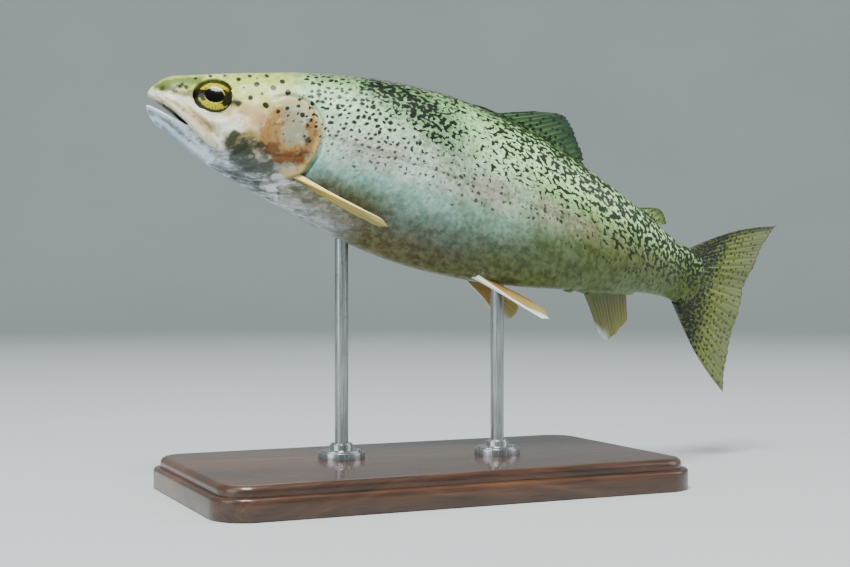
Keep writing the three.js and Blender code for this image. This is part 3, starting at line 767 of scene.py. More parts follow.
def fin_shell(name, root, edge, rays, root_half, bow=None, ripple=0.5, notch=0.4, edge_half=0.16):
    """A fin from its root and edge lines. Both take v, 0 at the leading ray and 1 at the last one."""
    v = np.linspace(0, 1, rays * RAY_SAMPLES + 1)[:, None]
    u = np.linspace(0, 1, LONG_SAMPLES)[None, :]
    phase = v * rays
    near_ray = phase - np.round(phase)  # -0.5 to 0.5 round each ray
    start, end = root(v[:, 0])[:, None], edge(v[:, 0])[:, None]
    length = np.linalg.norm(end - start, axis=-1)
    cut_back = notch * (1 - np.cos(2 * np.pi * near_ray)) / 2
    cut_back = cut_back + 0.2 * np.sin(phase * 2.3) * np.sin(phase * 0.9 + 1)
    reach = 1 - cut_back / np.maximum(length, 6)
    reach = np.where((v < 0.02) | (v > 0.98), 1, reach)
    middle = start + (end - start) * (u * reach)[..., None]
    if bow is not None:
        middle = middle + bow(u * reach, v)
    along = unit(np.gradient(middle, axis=1))
    across = unit(np.gradient(middle, axis=0))
    normal = unit(np.cross(along, across))
    wave = np.sin(phase * 1.1 + 1.5 * u + len(name)) * np.sin(v * 5 + 2.2)
    middle = middle + normal * (ripple * wave * u**1.5)[..., None]

    fork = 0.23 * smooth_step(u, 0.45, 1.0)
    ridge = bell(np.abs(near_ray) - fork, 0.15)
    strong = 1 + 0.9 * bell(v, 0.035)  # the leading ray is the stoutest
    half = edge_half * (1 - 0.3 * u) + 0.3 * ridge * strong * (1 - 0.75 * u)
    half = half + (root_half - 0.3) * (1 - u) ** 2.6
    thin_edge = np.clip((1 - u) / 0.03, 0.1, 1)
    thin_ends = np.clip(np.minimum(v, 1 - v) / 0.012, 0.1, 1)
    half = (half * (np.sqrt(thin_edge) * np.sqrt(thin_ends)))[..., None]

    sheets = np.stack([middle + normal * half, middle - normal * half])
    points = sheets.reshape(-1, 3)
    piece = mesh_from(name, to_room(points), shell_faces(*middle.shape[:2]))
    vane = np.stack(np.broadcast_arrays(u, v, ridge), -1).reshape(-1, 3)
    note(piece, "lie", np.tile(middle.reshape(-1, 3)[:, [0, 2, 1]], (2, 1)))
    note(piece, "vane", np.tile(vane, (2, 1)))
    print(name, "with", rays, "rays,", len(piece.data.polygons), "faces")
    return piece


def direction(angle, up):
    """Back along the fish and up from it, at an angle in degrees."""
    turn = np.radians(angle)
    return np.stack([np.cos(turn), 0 * turn, up * np.sin(turn)], -1)


# %% The dorsal, adipose, anal and tail fins
MEDIAN_FINS = {  # name: surface, up, from, to, sink, lengths, slants, half thickness at the root, rays
    "dorsal": (top, 1, 122, 166, 2.5, [(0, 21), (0.15, 24.5), (0.6, 14.5), (1, 4)],
               [(0, 22), (0.4, 31), (1, 42)], 1.5, 13),
    "adipose": (top, 1, 205, 219, 2, [(0, 2), (0.3, 7), (0.7, 10.5), (1, 9)],
                [(0, 42), (0.5, 38), (1, 20)], 1.2, 4),
    "anal": (bottom, -1, 187, 213, 2.5, [(0, 22), (0.15, 26), (0.5, 21.5), (1, 14)],
             [(0, 41), (0.5, 48), (1, 52)], 1.3, 12),
}
fins = {}
for name, (surface, up, start, end, sink, lengths, slants, root_half, rays) in MEDIAN_FINS.items():
    reach, lean = curve_through(lengths), curve_through(slants)

    def root(v):
        at = start + (end - start) * v
        return np.stack([at, 0 * v, surface(at) - up * sink], -1)

    def edge(v):
        return root(v) + direction(lean(v), up) * (reach(v) + sink)[:, None]

    soft = name == "adipose"
    fins[f"{name}_fin"] = fin_shell(f"{name}_vane", root, edge, rays, root_half,
                                    notch=0.1 if soft else 0.4, edge_half=0.55 if soft else 0.16)

FORK = 292  # where the middle of the tail fin's edge is
UPPER_TIP, LOWER_TIP = (TOTAL_LENGTH, 37), (TOTAL_LENGTH - 3, -43)
TAIL_RAYS = 23


def tail_root(v):
    return np.stack([BODY_END - 4 + 0 * v, 0 * v, 12.6 * (1 - 2 * v)], -1)


def tail_edge(v):
    spread = np.abs(1 - 2 * v)
    along, up = (np.where(v < 0.5, high, low) for high, low in zip(UPPER_TIP, LOWER_TIP))
    back = FORK + (along - FORK) * spread**1.7
    return np.stack([back, 0 * v, up * spread * (1.3 - 0.3 * spread**2)], -1)


def tail_bow(u, v):
    lift = 2.6 * np.sin(np.pi * u) * (1 - 2 * v) ** 3
    return np.stack([0 * lift, 0 * lift, lift], -1)


fins["caudal_fin"] = fin_shell("caudal_vane", tail_root, tail_edge, TAIL_RAYS, 2.3, tail_bow, 0.8, 0.5)

# %% The pectoral and pelvic fins
PAIRED_FINS = {  # name: root's front and back, lengths, first and last ray (left, right), thickness, rays
    "pectoral": ((58.5, 13.6, -14.9), (63.5, 13.2, -17), [(0, 41), (0.2, 41.5), (0.7, 30), (1, 20)],
                 [(0.86, 0.44, -0.19)] * 2, [(0.97, 0.02, -0.26)] * 2, 1.4, 13),
    "pelvic": ((137, 7.4, -30.4), (144, 4.2, -30.6), [(0, 30), (0.2, 31), (0.7, 25), (1, 18)],
               [(0.84, 0.36, -0.26), (0.84, 0.36, -0.42)],
               [(0.97, -0.02, -0.1), (0.97, -0.02, -0.2)], 1.3, 10),
}
SIDES = {"left": -1, "right": 1}
for name, (front, back, lengths, first, last, root_half, rays) in PAIRED_FINS.items():
    for i, (side_name, side) in enumerate(SIDES.items()):
        flip = np.array([1, side, 1])
        near_root, far_root = np.array(front) * flip, np.array(back) * flip
        ray_a, ray_b = unit(np.array(first[i]) * flip), unit(np.array(last[i]) * flip)
        reach = curve_through(lengths)

        def root(v):
            return near_root + (far_root - near_root) * v[:, None]

        def edge(v):
            return root(v) + unit(ray_a + (ray_b - ray_a) * v[:, None]) * reach(v)[:, None]

        fin_name = f"{name}_vane_{side_name}"
        fins[f"{name}_fin_{side_name}"] = fin_shell(fin_name, root, edge, rays, root_half)

# %% [markdown]
# ## The eyes
#
# A trout's eye is a shallow ball with a wide pupil, where the round lens nearly touches the clear cornea.
# It starts as a sphere, as a taxidermist's glass eye does. The outward pole is drawn out a little for the
# cornea's bulge, and the ball is flattened to the socket's shape. An attribute keeps each point's place
# on the iris, for the paint.

# %% Model the eyeballs
def start_fresh():
    """Deselects everything, so that the next operator acts on the new piece alone."""
    if bpy.context.mode != "OBJECT":
        bpy.ops.object.mode_set(mode="OBJECT")
    bpy.ops.object.select_all(action="DESELECT")


def select(piece, test, kind="faces"):
    """In edit mode, selects only the faces or edges whose centre and normal pass the test."""
    bpy.ops.mesh.select_mode(type={"faces": "FACE", "edges": "EDGE", "verts": "VERT"}[kind])
    bpy.ops.mesh.select_all(action="DESELECT")
    shape = bmesh.from_edit_mesh(piece.data)
    for part in getattr(shape, kind):
        part.select_set(bool(test(part)))
    shape.select_flush_mode()
    bmesh.update_edit_mesh(piece.data)


def make_eye(name, side):
    start_fresh()
    pole_out = (math.radians(-90 * side), 0, 0)
    bpy.ops.mesh.primitive_uv_sphere_add(segments=56, ring_count=40, radius=1, rotation=pole_out)
    eye = bpy.context.object
    eye.name = name
    bpy.ops.object.transform_apply()
    bpy.ops.object.mode_set(mode="EDIT")
    select(eye, lambda face: face.calc_center_median().y * side > 0.88)
    soft = {"use_proportional_edit": True, "proportional_size": 0.5}
    bpy.ops.transform.translate(value=(0, 0.06 * side, 0), **soft)
    bpy.ops.object.mode_set(mode="OBJECT")
    bpy.ops.object.shade_smooth()
    ball = points_of(eye)
    note(eye, "iris", np.stack([ball[:, 0], ball[:, 2], ball[:, 1] * side], 1))
    turn = math.radians(EYE["turn"] * side)
    tilt = np.array(Matrix.Rotation(turn, 3, "Z") @ Matrix.Rotation(turn, 3, "X"))
    socket = np.array([EYE["at"], side * socket_y, EYE["up"]])
    move_points(eye, (ball * EYE["radii"]) @ tilt.T + socket)
    print(name, "stands", round(EYE["radii"][1] - EYE["sink"], 1), "mm out of the head")
    return eye


eyes = {f"eye_{name}": make_eye(f"eyeball_{name}", side) for name, side in SIDES.items()}

# %% [markdown]
# ## The stand
#
# A turner and a joiner would make this stand: a dark wooden board with a moulded edge, and two steel posts
# that are screwed down through collars and end in the belly. The board is a box whose corners are
# beveled round; its top face is inset and extruded for the step in the moulding, then the new edge is
# rounded. A collar is a cylinder that narrows in three steps, each an inset and a raised face.

# %% Model the board
def add_box(name, low, high):
    start_fresh()
    middle = (Vector(low) + Vector(high)) / 2
    bpy.ops.mesh.primitive_cube_add(size=1, location=middle, scale=Vector(high) - Vector(low))
    box = bpy.context.object
    box.name = name
    bpy.ops.object.transform_apply()
    return box


base_low, base_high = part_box("stand_base")
STEP_HEIGHT, STEP_WIDTH = 4 * MM, 2.6 * MM
CORNER_RADIUS = 14 * MM
TINY = 1e-5
step_z = base_high.z - STEP_HEIGHT


def on_outer_side(face):
    """Whether a face is one of the upright ones under the board's step."""
    return len(face.verts) == 4 and abs(face.normal.z) < 0.1 and face.calc_center_median().z < step_z


def is_upright(edge):
    return abs((edge.verts[0].co - edge.verts[1].co).normalized().z) > 0.9


def is_top(edge):
    return all(v.co.z > base_high.z - 0.1 * MM for v in edge.verts)


def is_step(edge):
    level = all(abs(v.co.z - step_z) < TINY for v in edge.verts)
    return level and any(on_outer_side(face) for face in edge.link_faces)


def is_bottom(edge):
    return all(v.co.z < base_low.z + TINY for v in edge.verts)


board = add_box("stand_board", base_low, base_high - Vector((0, 0, STEP_HEIGHT)))
bpy.ops.object.mode_set(mode="EDIT")
select(board, is_upright, "edges")
bpy.ops.mesh.bevel(offset=CORNER_RADIUS, segments=14)
select(board, lambda face: face.normal.z > 0.9)
bpy.ops.mesh.inset(thickness=STEP_WIDTH)
bpy.ops.mesh.extrude_region_move(TRANSFORM_OT_translate={"value": (0, 0, STEP_HEIGHT)})
for test, offset, segments in ((is_top, 2.4, 5), (is_step, 1.2, 3), (is_bottom, 0.8, 2)):
    select(board, test, "edges")
    bpy.ops.mesh.bevel(offset=offset * MM, segments=segments)
bpy.ops.object.mode_set(mode="OBJECT")
bpy.ops.object.shade_smooth_by_angle(angle=math.radians(40))
print("board:", len(board.data.polygons), "faces")

# %% Tools for turned pieces
def add_round(name, centre, radius, low, high, sides=64):
    start_fresh()
    place = (centre[0], centre[1], (low + high) / 2)
    bpy.ops.mesh.primitive_cylinder_add(vertices=sides, radius=radius, depth=high - low, location=place)
    piece = bpy.context.object
    piece.name = name
    bpy.ops.object.transform_apply()
    return piece


def narrow_top(piece, inset, rise):
    """Insets the top face and raises it: a shoulder and then a neck."""
    highest = max(v.co.z for v in bmesh.from_edit_mesh(piece.data).verts)
    select(piece, lambda face: face.normal.z > 0.9 and face.calc_center_median().z > highest - 1e-5)
    bpy.ops.mesh.inset(thickness=inset)
    bpy.ops.mesh.extrude_region_move(TRANSFORM_OT_translate={"value": (0, 0, rise)})


def add_screw(centre, top_z):
    """A small slotted screw head."""
    head = add_round("screw", centre, 1.15 * MM, top_z - 0.3 * MM, top_z + 0.35 * MM, 20)
    bpy.ops.object.mode_set(mode="EDIT")
    select(head, lambda face: face.normal.z > 0.9)
    bpy.ops.mesh.inset(thickness=0.25 * MM)
    bpy.ops.transform.translate(value=(0, 0, 0.12 * MM))
    bpy.ops.object.mode_set(mode="OBJECT")
    return head


print("ready to turn:", add_round.__name__, narrow_top.__name__, add_screw.__name__)

# %% Model the posts and their collars
SHOULDER_WIDTH, NECK_WIDTH = 0.9 * MM, 1.9 * MM
SCREWS_IN = 2.4 * MM  # how far in from the collar's rim its screws are
stand_pieces = {"stand_base": board}
for name in ROD_STATIONS:
    foot_low, foot_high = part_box(f"stand_foot_{name}")
    rod_low, rod_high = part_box(f"stand_rod_{name}")
    centre = (rod_low + rod_high) / 2
    radius = (rod_high.x - rod_low.x) / 2
    reach = (foot_high.x - foot_low.x) / 2
    collar = add_round(f"stand_collar_{name}", centre, reach, base_high.z, foot_high.z - 0.6 * MM)
    bpy.ops.object.mode_set(mode="EDIT")
    narrow_top(collar, SHOULDER_WIDTH, 0.6 * MM)
    narrow_top(collar, reach - SHOULDER_WIDTH - radius - NECK_WIDTH, 2.2 * MM)
    narrow_top(collar, 0.5 * MM, 0.5 * MM)
    shoulder = foot_high.z - 0.7 * MM

    def is_crease(edge):
        high = all(v.co.z > shoulder for v in edge.verts)
        level = abs(edge.verts[0].co.z - edge.verts[1].co.z) < TINY / 10
        return high and level and len(edge.link_faces) == 2 and edge.calc_face_angle() > 0.6

    select(collar, is_crease, "edges")
    bpy.ops.mesh.bevel(offset=0.25 * MM, segments=2)
    bpy.ops.object.mode_set(mode="OBJECT")
    screws = []
    for turn in np.radians([90, 210, 330]):
        spot = centre + Vector((math.cos(turn), math.sin(turn), 0)) * (reach - SCREWS_IN)
        screws.append(add_screw(spot, foot_high.z))
    start_fresh()
    for piece in [*screws, collar]:
        piece.select_set(True)
    bpy.context.view_layer.objects.active = collar
    bpy.ops.object.join()
    bpy.ops.object.shade_smooth_by_angle(angle=math.radians(35))

    post = add_round(f"stand_post_{name}", centre, radius, foot_high.z + 0.5 * MM, rod_high.z + 1.5 * MM)
    bpy.ops.object.shade_smooth_by_angle(angle=math.radians(35))
    stand_pieces[f"stand_foot_{name}"] = collar
    stand_pieces[f"stand_rod_{name}"] = post
print("stand pieces:", sorted(piece.name for piece in stand_pieces.values()))

# %% [markdown]
# ## Painting with nodes
#
# Each finish is worked out by nodes, so it has no end of detail and needs no picture. A small helper keeps
# the recipes short: it adds a node, links what is linked, and hands back the output. Colours are written
# as a painter's hex numbers and turned into the linear values that Blender wants.

# %% Short words for nodes
def paint(code):
    """A colour such as "#d8c98f", as linear red, green, blue and alpha."""
    parts = [int(code[i:i + 2], 16) / 255 for i in (1, 3, 5)]
    return [p / 12.92 if p <= 0.04045 else ((p + 0.055) / 1.055) ** 2.4 for p in parts] + [1.0]


MIXED_COLOUR = 2  # which output of a mix node gives the colour
OBJECT_PLACE = 3  # which output of a texture coordinate node gives a place on the object


class Recipe:
    """Adds nodes to a material or a node group. Inputs are numbers, colours or other nodes' outputs."""

    def __init__(self, tree):
        self.tree = tree

    def add(self, kind, inputs=(), output=0, **settings):
        node = self.tree.nodes.new(kind)
        for key, value in settings.items():
            setattr(node, key, value)
        for key, value in dict(inputs).items():
            if isinstance(value, bpy.types.NodeSocket):
                self.tree.links.new(value, node.inputs[key])
            else:
                node.inputs[key].default_value = value
        return node.outputs[output]

    def math(self, operation, a, b=0.0):
        return self.add("ShaderNodeMath", {0: a, 1: b}, operation=operation)

    def over_all(self, operation, values):
        result = values[0]
        for value in values[1:]:
            result = self.math(operation, result, value)
        return result

    def times(self, *values):
        return self.over_all("MULTIPLY", values)

    def plus(self, *values):
        return self.over_all("ADD", values)

    def most(self, *values):
        return self.over_all("MAXIMUM", values)

    def minus(self, a, b):
        return self.math("SUBTRACT", a, b)

    def size(self, value):
        return self.math("ABSOLUTE", value)

    def square(self, value):
        return self.math("POWER", value, 2.0)

    def sway(self, noise, amount):
        """A noise, which is about 0.5, made to swing that much about 0."""
        return self.times(self.minus(noise, 0.5), amount)

    def step(self, value, low, high, start=0.0, end=1.0):
        """A smooth change from start to end as value goes from low to high."""
        inputs = {"Value": value, "From Min": low, "From Max": high, "To Min": start, "To Max": end}
        return self.add("ShaderNodeMapRange", inputs, interpolation_type="SMOOTHSTEP")

    def fall(self, value, low, high):
        """A smooth fall from 1 to 0 as value goes from low to high."""
        return self.step(value, low, high, start=1.0, end=0.0)

    def mix(self, share, a, b, blend="MIX"):
        """Two colours mixed. Each is a node's output or a painter's hex number."""
        a, b = (paint(colour) if isinstance(colour, str) else colour for colour in (a, b))
        settings = {"data_type": "RGBA", "blend_type": blend}
        return self.add("ShaderNodeMix", {0: share, 6: a, 7: b}, MIXED_COLOUR, **settings)

    def ramp(self, value, stops):
        node = self.add("ShaderNodeValToRGB", {0: value}).node
        elements = node.color_ramp.elements
        while len(elements) < len(stops):
            elements.new(1)
        for element, (place, colour) in zip(elements, stops):
            element.position = place
            element.color = paint(colour)
        return node.outputs[0]

    def noise(self, vector, scale, detail=2.0, output=0, roughness=0.5):
        inputs = {"Vector": vector, "Scale": scale, "Detail": detail, "Roughness": roughness}
        return self.add("ShaderNodeTexNoise", inputs, output=output)

    def attribute(self, name, output="Vector"):
        return self.add("ShaderNodeAttribute", output=output, attribute_name=name)

    def parts(self, vector):
        return self.add("ShaderNodeSeparateXYZ", {0: vector}).node.outputs

    def stretch(self, vector, scale):
        return self.add("ShaderNodeMapping", {0: vector, "Scale": scale})


print("a painter's #808080 is", round(paint("#808080")[0], 3), "in linear light")

# %% New finishes and shared groups
def new_group(name, **outputs):
    """An empty node group with named outputs: itself, its recipe and a function that links its outputs."""
    tree = bpy.data.node_groups.new(name, "ShaderNodeTree")
    for socket, kind in outputs.items():
        tree.interface.new_socket(socket, in_out="OUTPUT", socket_type="NodeSocket" + kind)
    exit_node = tree.nodes.new("NodeGroupOutput")

    def put_out(**values):
        for socket, value in values.items():
            tree.links.new(value, exit_node.inputs[socket])

    return tree, Recipe(tree), put_out


def finish(name, **constants):
    """A new material: its recipe, and a function that links sockets of its Principled shader."""
    material = bpy.data.materials.new(name)
    material.use_nodes = True
    shader = material.node_tree.nodes["Principled BSDF"]
    for socket, value in constants.items():
        shader.inputs[socket.replace("_", " ")].default_value = value

    def feed(**values):
        for socket, value in values.items():
            material.node_tree.links.new(value, shader.inputs[socket.replace("_", " ")])

    return material, Recipe(material.node_tree), feed


def use(recipe, tree):
    """Places a node group in a recipe and hands back its outputs."""
    node = recipe.tree.nodes.new("ShaderNodeGroup")
    node.node_tree = tree
    return node.outputs


def dress(piece, material):
    piece.data.materials.clear()
    piece.data.materials.append(material)


print("ready to mix paints:", ", ".join(tool.__name__ for tool in (new_group, finish, use, dress)))

# %% [markdown]
# ## Airbrush strokes on the head
#
# A taxidermist paints the head with an airbrush, in soft strokes over a base coat. The strokes here are
# lines on the head's side view, each with a radius and a soft edge. How much of each paint a point of the
# skin gets is kept as an attribute, and the nodes later break its edge with a little noise.

# %% The head's paints and spots
HEAD_PAINTS = {  # name: colour, strength, strokes of points and radius
    "snout_green": ("#506c2c", 0.88, [([(3.4, 1), (7, 3.2), (12, 5.2), (17, 7.4)], 2.0)]),
    "snout_grey": ("#525f38", 0.82, [([(5, 0.6), (11, 1.4), (14.5, 1.2), (17.6, 2.8)], 1.6)]),
    "snout_dark": ("#1f2a12", 0.8, [([(4.6, -0.2), (5.2, 0.4)], 0.7),
                                    ([(9.6, 0.4), (10.6, 0.9)], 0.7)]),
    "snout_cream": ("#d3dacb", 0.85, [([(0.4, -0.6), (3, -1.8), (6.4, -2.2)], 1.3)]),
    "cheek_white": ("#f3f2de", 0.97, [
        ([(8, -1.8), (14.7, -1.8), (22.5, -3.4), (30.6, -4.2), (34.4, -2.4)], 1.7),
        ([(31, -6.6), (36, -5)], 2.0), ([(28, -10), (32, -12.6)], 1.8)]),
    "cheek_peach": ("#c39a70", 0.8, [([(35.8, 1.8), (41, 2.4)], 1.8),
                                     ([(42, 0.6), (46, 1), (46.5, -2.6)], 2.8)]),
    "cheek_gold": ("#8a7130", 0.88, [([(40.5, -6.4), (44, -6.4), (46, -4.6)], 1.9)]),
    "cheek_smudge": ("#2f331c", 0.96, [([(36, -9.2), (43.6, -9.4)], 2.6),
                                       ([(34.6, -11.6), (42, -12)], 2.4)]),
    "eye_bar": ("#12140a", 0.95, [([(31.0, 2.8), (33.0, 3.4)], 1.4)]),
    "eye_edge": ("#39431c", 0.85, []),
    "jaw_white": ("#cfe4f2", 0.92, [([(0, -7.4), (8, -9.4), (18, -14), (28, -19)], 3.0)]),
    "jaw_streak": ("#566473", 0.8, [([(3, -8.4), (9, -10), (16, -12.7), (25, -17.0)], 0.6)]),
    "jaw_lilac": ("#77748c", 0.7, [([(10, -13.4), (18, -17), (27, -20.4)], 1.2)]),
    # a painted highlight along the upper edge of the lower jaw
    "jaw_edge": ("#dfe8f4", 0.9, [([(21, -16), (28, -17.7), (36, -18.3)], 0.8)]),
    "maxilla_cream": ("#dcd6ba", 0.9, []),
    "lip_shade": ("#716e3e", 0.6, [([(8, -2.6), (16, -4.1), (24, -6.8), (29.4, -10)], 0.8)]),
    "maxilla_gold": ("#a5793c", 0.75, [([(15, -4.6), (20, -6.4), (26.5, -9.4)], 0.6)]),
    "cover_base": ("#a59a78", 0.8, []),
    "cover_tan": ("#95703f", 0.9, [([(48.4, 4), (48, -3), (52, -8), (57, -8)], 4.0),
                                   ([(62, 4.4), (63.6, -3), (62.4, -11)], 3.4)]),
    "cover_orange": ("#643a1c", 0.88, [([(50, -9.4), (55, -10.8), (60.6, -8.6)], 2.9)]),
    "cover_yellow": ("#ad8748", 0.7, [([(54.6, -6.8), (58, -6.2)], 1.1)]),
    "cover_pink": ("#c99f8a", 0.8, [([(58.6, -13.6), (61.8, -12.4)], 1.1)]),
    "cover_brown": ("#382817", 0.8, [([(46, -9.6), (48.6, -12.4)], 1.7)]),
    "cover_plum": ("#2e2128", 0.85, [([(60.4, -1.6), (61, -2)], 1.3)]),
    "cover_grey": ("#8f8e72", 0.9, [([(52.6, 6), (54.8, 1.4), (55, -2.6)], 3.2)]),
    "nape_white": ("#cfd4b6", 0.7, [([(45, 9.8), (51, 12.2), (58, 11), (63, 7.4), (66, 2)], 1.5)]),
    "cover_rim": ("#bca56c", 0.9, []),
    "below_cover": ("#3a3f36", 0.88, [([(38, -15), (44, -16.6), (51, -16.4)], 2.6)]),
    "breast_white": ("#e9ecef", 0.85, [([(54, -18.6), (61, -19.6)], 1.3),
                                       ([(52, -21.6), (61, -24.4), (68, -27)], 1.8)]),
}
HEAD_SPOTS = [  # place on the side view and radius
    (30.8, 12.5, 0.9), (37.6, 12.5, 1.1), (43.8, 13.1, 1.1), (36.8, 6.8, 1.0), (42.9, 5.8, 1.2),
    (49.5, 13.2, 1.1), (46.3, 16.6, 1.0), (51.1, 17.6, 1.0), (47.9, 4.8, 0.7), (50.7, 7.0, 0.9),
    (56.9, 6.2, 1.0), (55.9, 15.4, 0.9), (59.3, 12.0, 0.9), (11.6, 4.6, 0.8), (15.6, 8.2, 0.7),
    (20.4, 10.6, 0.7), (25.6, 12.4, 0.8), (34.2, 15.2, 0.8), (40.2, 17.2, 0.9), (33.6, 9.8, 0.6),
    (57.4, 3.2, 0.6), (62.6, 3.6, 0.7), (40.4, 9.6, 0.7), (54.2, 11.6, 0.7),
]
print("the head has", len(HEAD_PAINTS), "paints and", len(HEAD_SPOTS), "spots on each side")

# %% Spray the head's colours
def spray(strokes, x, z):
    """How much paint the strokes leave: 1 in the middle, and a half at each one's radius."""
    amount = np.zeros(x.shape)
    for points, radius in strokes:
        gap, _ = distance_to_line(smooth_line(points, 12), x, z)
        soft = 0.9 + 0.5 * radius
        amount = np.maximum(amount, 1 - smooth_step(gap, radius - soft, radius + soft))
    return amount


skin_x, skin_z = straight[:, 0], straight[:, 2]
cover_depth = depth_inside(gill_outline, skin_x, skin_z)
on_cover = smooth_step(cover_depth, -0.6, 0.6)
blade, along = distance_to_line(MAXILLA, skin_x, skin_z)
coats = {name: spray(strokes, skin_x, skin_z) for name, (_, _, strokes) in HEAD_PAINTS.items()}
coats["maxilla_cream"] = smooth_step(maxilla_width(along) - blade, -0.3, 0.4)
coats["cover_base"] = on_cover * smooth_step(skin_x + 0.3 * skin_z, 46, 53)
coats["eye_edge"] = np.exp(-(((eye_ring(skin_x, skin_z) - 1.06) / 0.05) ** 2))
rear = smooth_step(skin_x + 0.2 * skin_z, 46, 54)
coats["cover_rim"] = on_cover * (1 - smooth_step(cover_depth, 0.6, 3.0)) * rear
open_front = smooth_step(skin_z, -12, -9) * (1 - smooth_step(skin_x, 52, 56))
for name in HEAD_PAINTS:
    if name.startswith("cover_") and name != "cover_rim":
        coats[name] *= np.maximum(on_cover, open_front)
for name, amount in coats.items():
    note(skin, name, amount)
dabs = [radius - np.hypot(skin_x - at, skin_z - up) for at, up, radius in HEAD_SPOTS]
note(skin, "head_spot", np.max(dabs, axis=0).clip(-3) + 3)
print("coats sprayed:", len(coats))

# %% [markdown]
# ## The trout's markings
#
# The colours run in bands from the back to the belly: dark on the ridge, pale green above, silver with a
# blush of pink along the side, and grey below, all yellower towards the tail. The grey below is partly
# painted shade: the bands darken towards the belly as under a light from above. Skin and scales use this
# one group, so every marking runs on from one to the other. In the recipe, at is in millimetres from
# the snout, and down is a share of the way from the ridge of the back to the belly. A step or a fall
# names the two values that it runs between.

# %% Lay the bands of colour
# the lower stops of the body's bands are darker as painted shade under the belly
BANDS_FRONT = [(0.0, "#223a26"), (0.07, "#54744c"), (0.14, "#82a972"), (0.21, "#a0cf98"),
               (0.3, "#b6e0b4"), (0.41, "#c4dcc6"), (0.51, "#b2d9c8"), (0.61, "#86aca2"),
               (0.72, "#5e6b64"), (0.82, "#5e5b48"), (0.91, "#696447"), (1.0, "#696e49")]
BANDS_REAR = [(0.0, "#4c6638"), (0.1, "#9cc88a"), (0.24, "#cdeabb"), (0.34, "#b6dd96"),
              (0.44, "#88a064"), (0.54, "#6b7844"), (0.66, "#5a6438"), (0.8, "#55623a"),
              (1.0, "#667549")]
BANDS_HEAD = [(0.0, "#5c7636"), (0.12, "#a0b254"), (0.27, "#c1ca6c"), (0.38, "#cfcc86"),
              (0.47, "#d8cb98"), (0.58, "#c9b492"), (0.72, "#a3a7a2"), (0.86, "#87919b"),
              (1.0, "#9aa2ad")]
BLACK = "#0c120c"

markings, m, put_out = new_group("trout_markings", Colour="Color", Silver="Float", Dark="Float")
lie = m.attribute("lie")
at, arc_along, down = m.parts(lie)
cloud = m.noise(lie, 0.06, 3)
grain = m.noise(lie, 0.4, 5, roughness=0.62)
wavy = m.plus(down, m.sway(cloud, 0.08))
wavy = m.plus(wavy, m.sway(grain, 0.05))
rearward = m.step(m.plus(at, m.sway(cloud, 60.0)), 92, 190)
colour = m.mix(rearward, m.ramp(wavy, BANDS_FRONT), m.ramp(wavy, BANDS_REAR))
head = m.fall(m.plus(at, m.times(grain, 8.0)), 48, 62)
colour = m.mix(head, colour, m.ramp(wavy, BANDS_HEAD))
edge_of_back = m.size(arc_along)
ridge = m.times(m.fall(edge_of_back, 4, 15), m.step(at, 60, 90), m.step(at, 150, 200, 1.0, 0.35))
blush = m.times(m.step(wavy, 0.38, 0.47), m.fall(wavy, 0.5, 0.6), m.step(at, 60, 74))
blush = m.times(blush, m.step(at, 120, 215, 1.0, 0.15), m.step(cloud, 0.35, 0.6, 0.35, 1.0))
colour = m.mix(m.times(blush, 0.42), colour, "#c99f9d")
# painted shade: the lower flank around and behind the pectoral fin is darkened where the fin shades it
shade_by_pectoral_fin = m.times(m.step(at, 64, 74), m.fall(at, 84, 104), m.step(wavy, 0.6, 0.68),
                m.fall(wavy, 0.74, 0.84))
colour = m.mix(m.times(shade_by_pectoral_fin, 0.6), colour, "#4e4c2c")
along_shoulder = m.times(m.minus(at, 66.0), 0.0056)
saddle = m.size(m.minus(wavy, m.plus(along_shoulder, 0.05)))
saddle = m.times(m.fall(saddle, 0.04, 0.19), m.step(at, 64, 80), m.fall(at, 108, 132))
colour = m.mix(m.times(saddle, 0.6), colour, "#2a4a2c")
near_tail = m.step(m.plus(at, m.times(cloud, 12.0)), 228, 260, 0.0, 0.8)
near_tail = m.times(near_tail, m.step(wavy, 0.08, 0.36, 0.45, 1.0))
colour = m.mix(near_tail, colour, "#525f26")
speckle = m.mix(m.step(grain, 0.34, 0.66), "#4c503c", "#f4f4ee")
colour = m.mix(0.5, colour, speckle, "SOFT_LIGHT")
print("bands and patches:", len(markings.nodes), "nodes")

# %% [markdown]
# ## Throat, breast and head
#
# Under the head the paint is mottled. Then the airbrush strokes go on in their order, each with its edge
# broken up by two noises, and a shade lies over the throat. The brown of the gill cover is peppered.

# %% Paint the throat and the head
mottle = m.noise(m.stretch(lie, (0.6, 1, 1)), 0.5, 4, roughness=0.55)
throat = m.times(m.step(down, 0.66, 0.8), m.step(at, 20, 32), m.fall(at, 66, 92))
colour = m.mix(m.times(throat, m.step(mottle, 0.46, 0.66, 0.0, 0.42)), colour, "#3a3f45")
colour = m.mix(m.times(throat, m.step(mottle, 0.36, 0.52, 0.55, 0.0)), colour, "#dfe3ea")
breast = m.times(m.step(down, 0.7, 0.82), m.step(at, 50, 58), m.fall(at, 72, 94))
breast = m.times(breast, m.step(mottle, 0.4, 0.6, 0.85, 0.5))
breast_paint = m.mix(m.step(down, 0.78, 0.9), "#a5a08a", "#c3c7d2")
colour = m.mix(breast, colour, breast_paint)

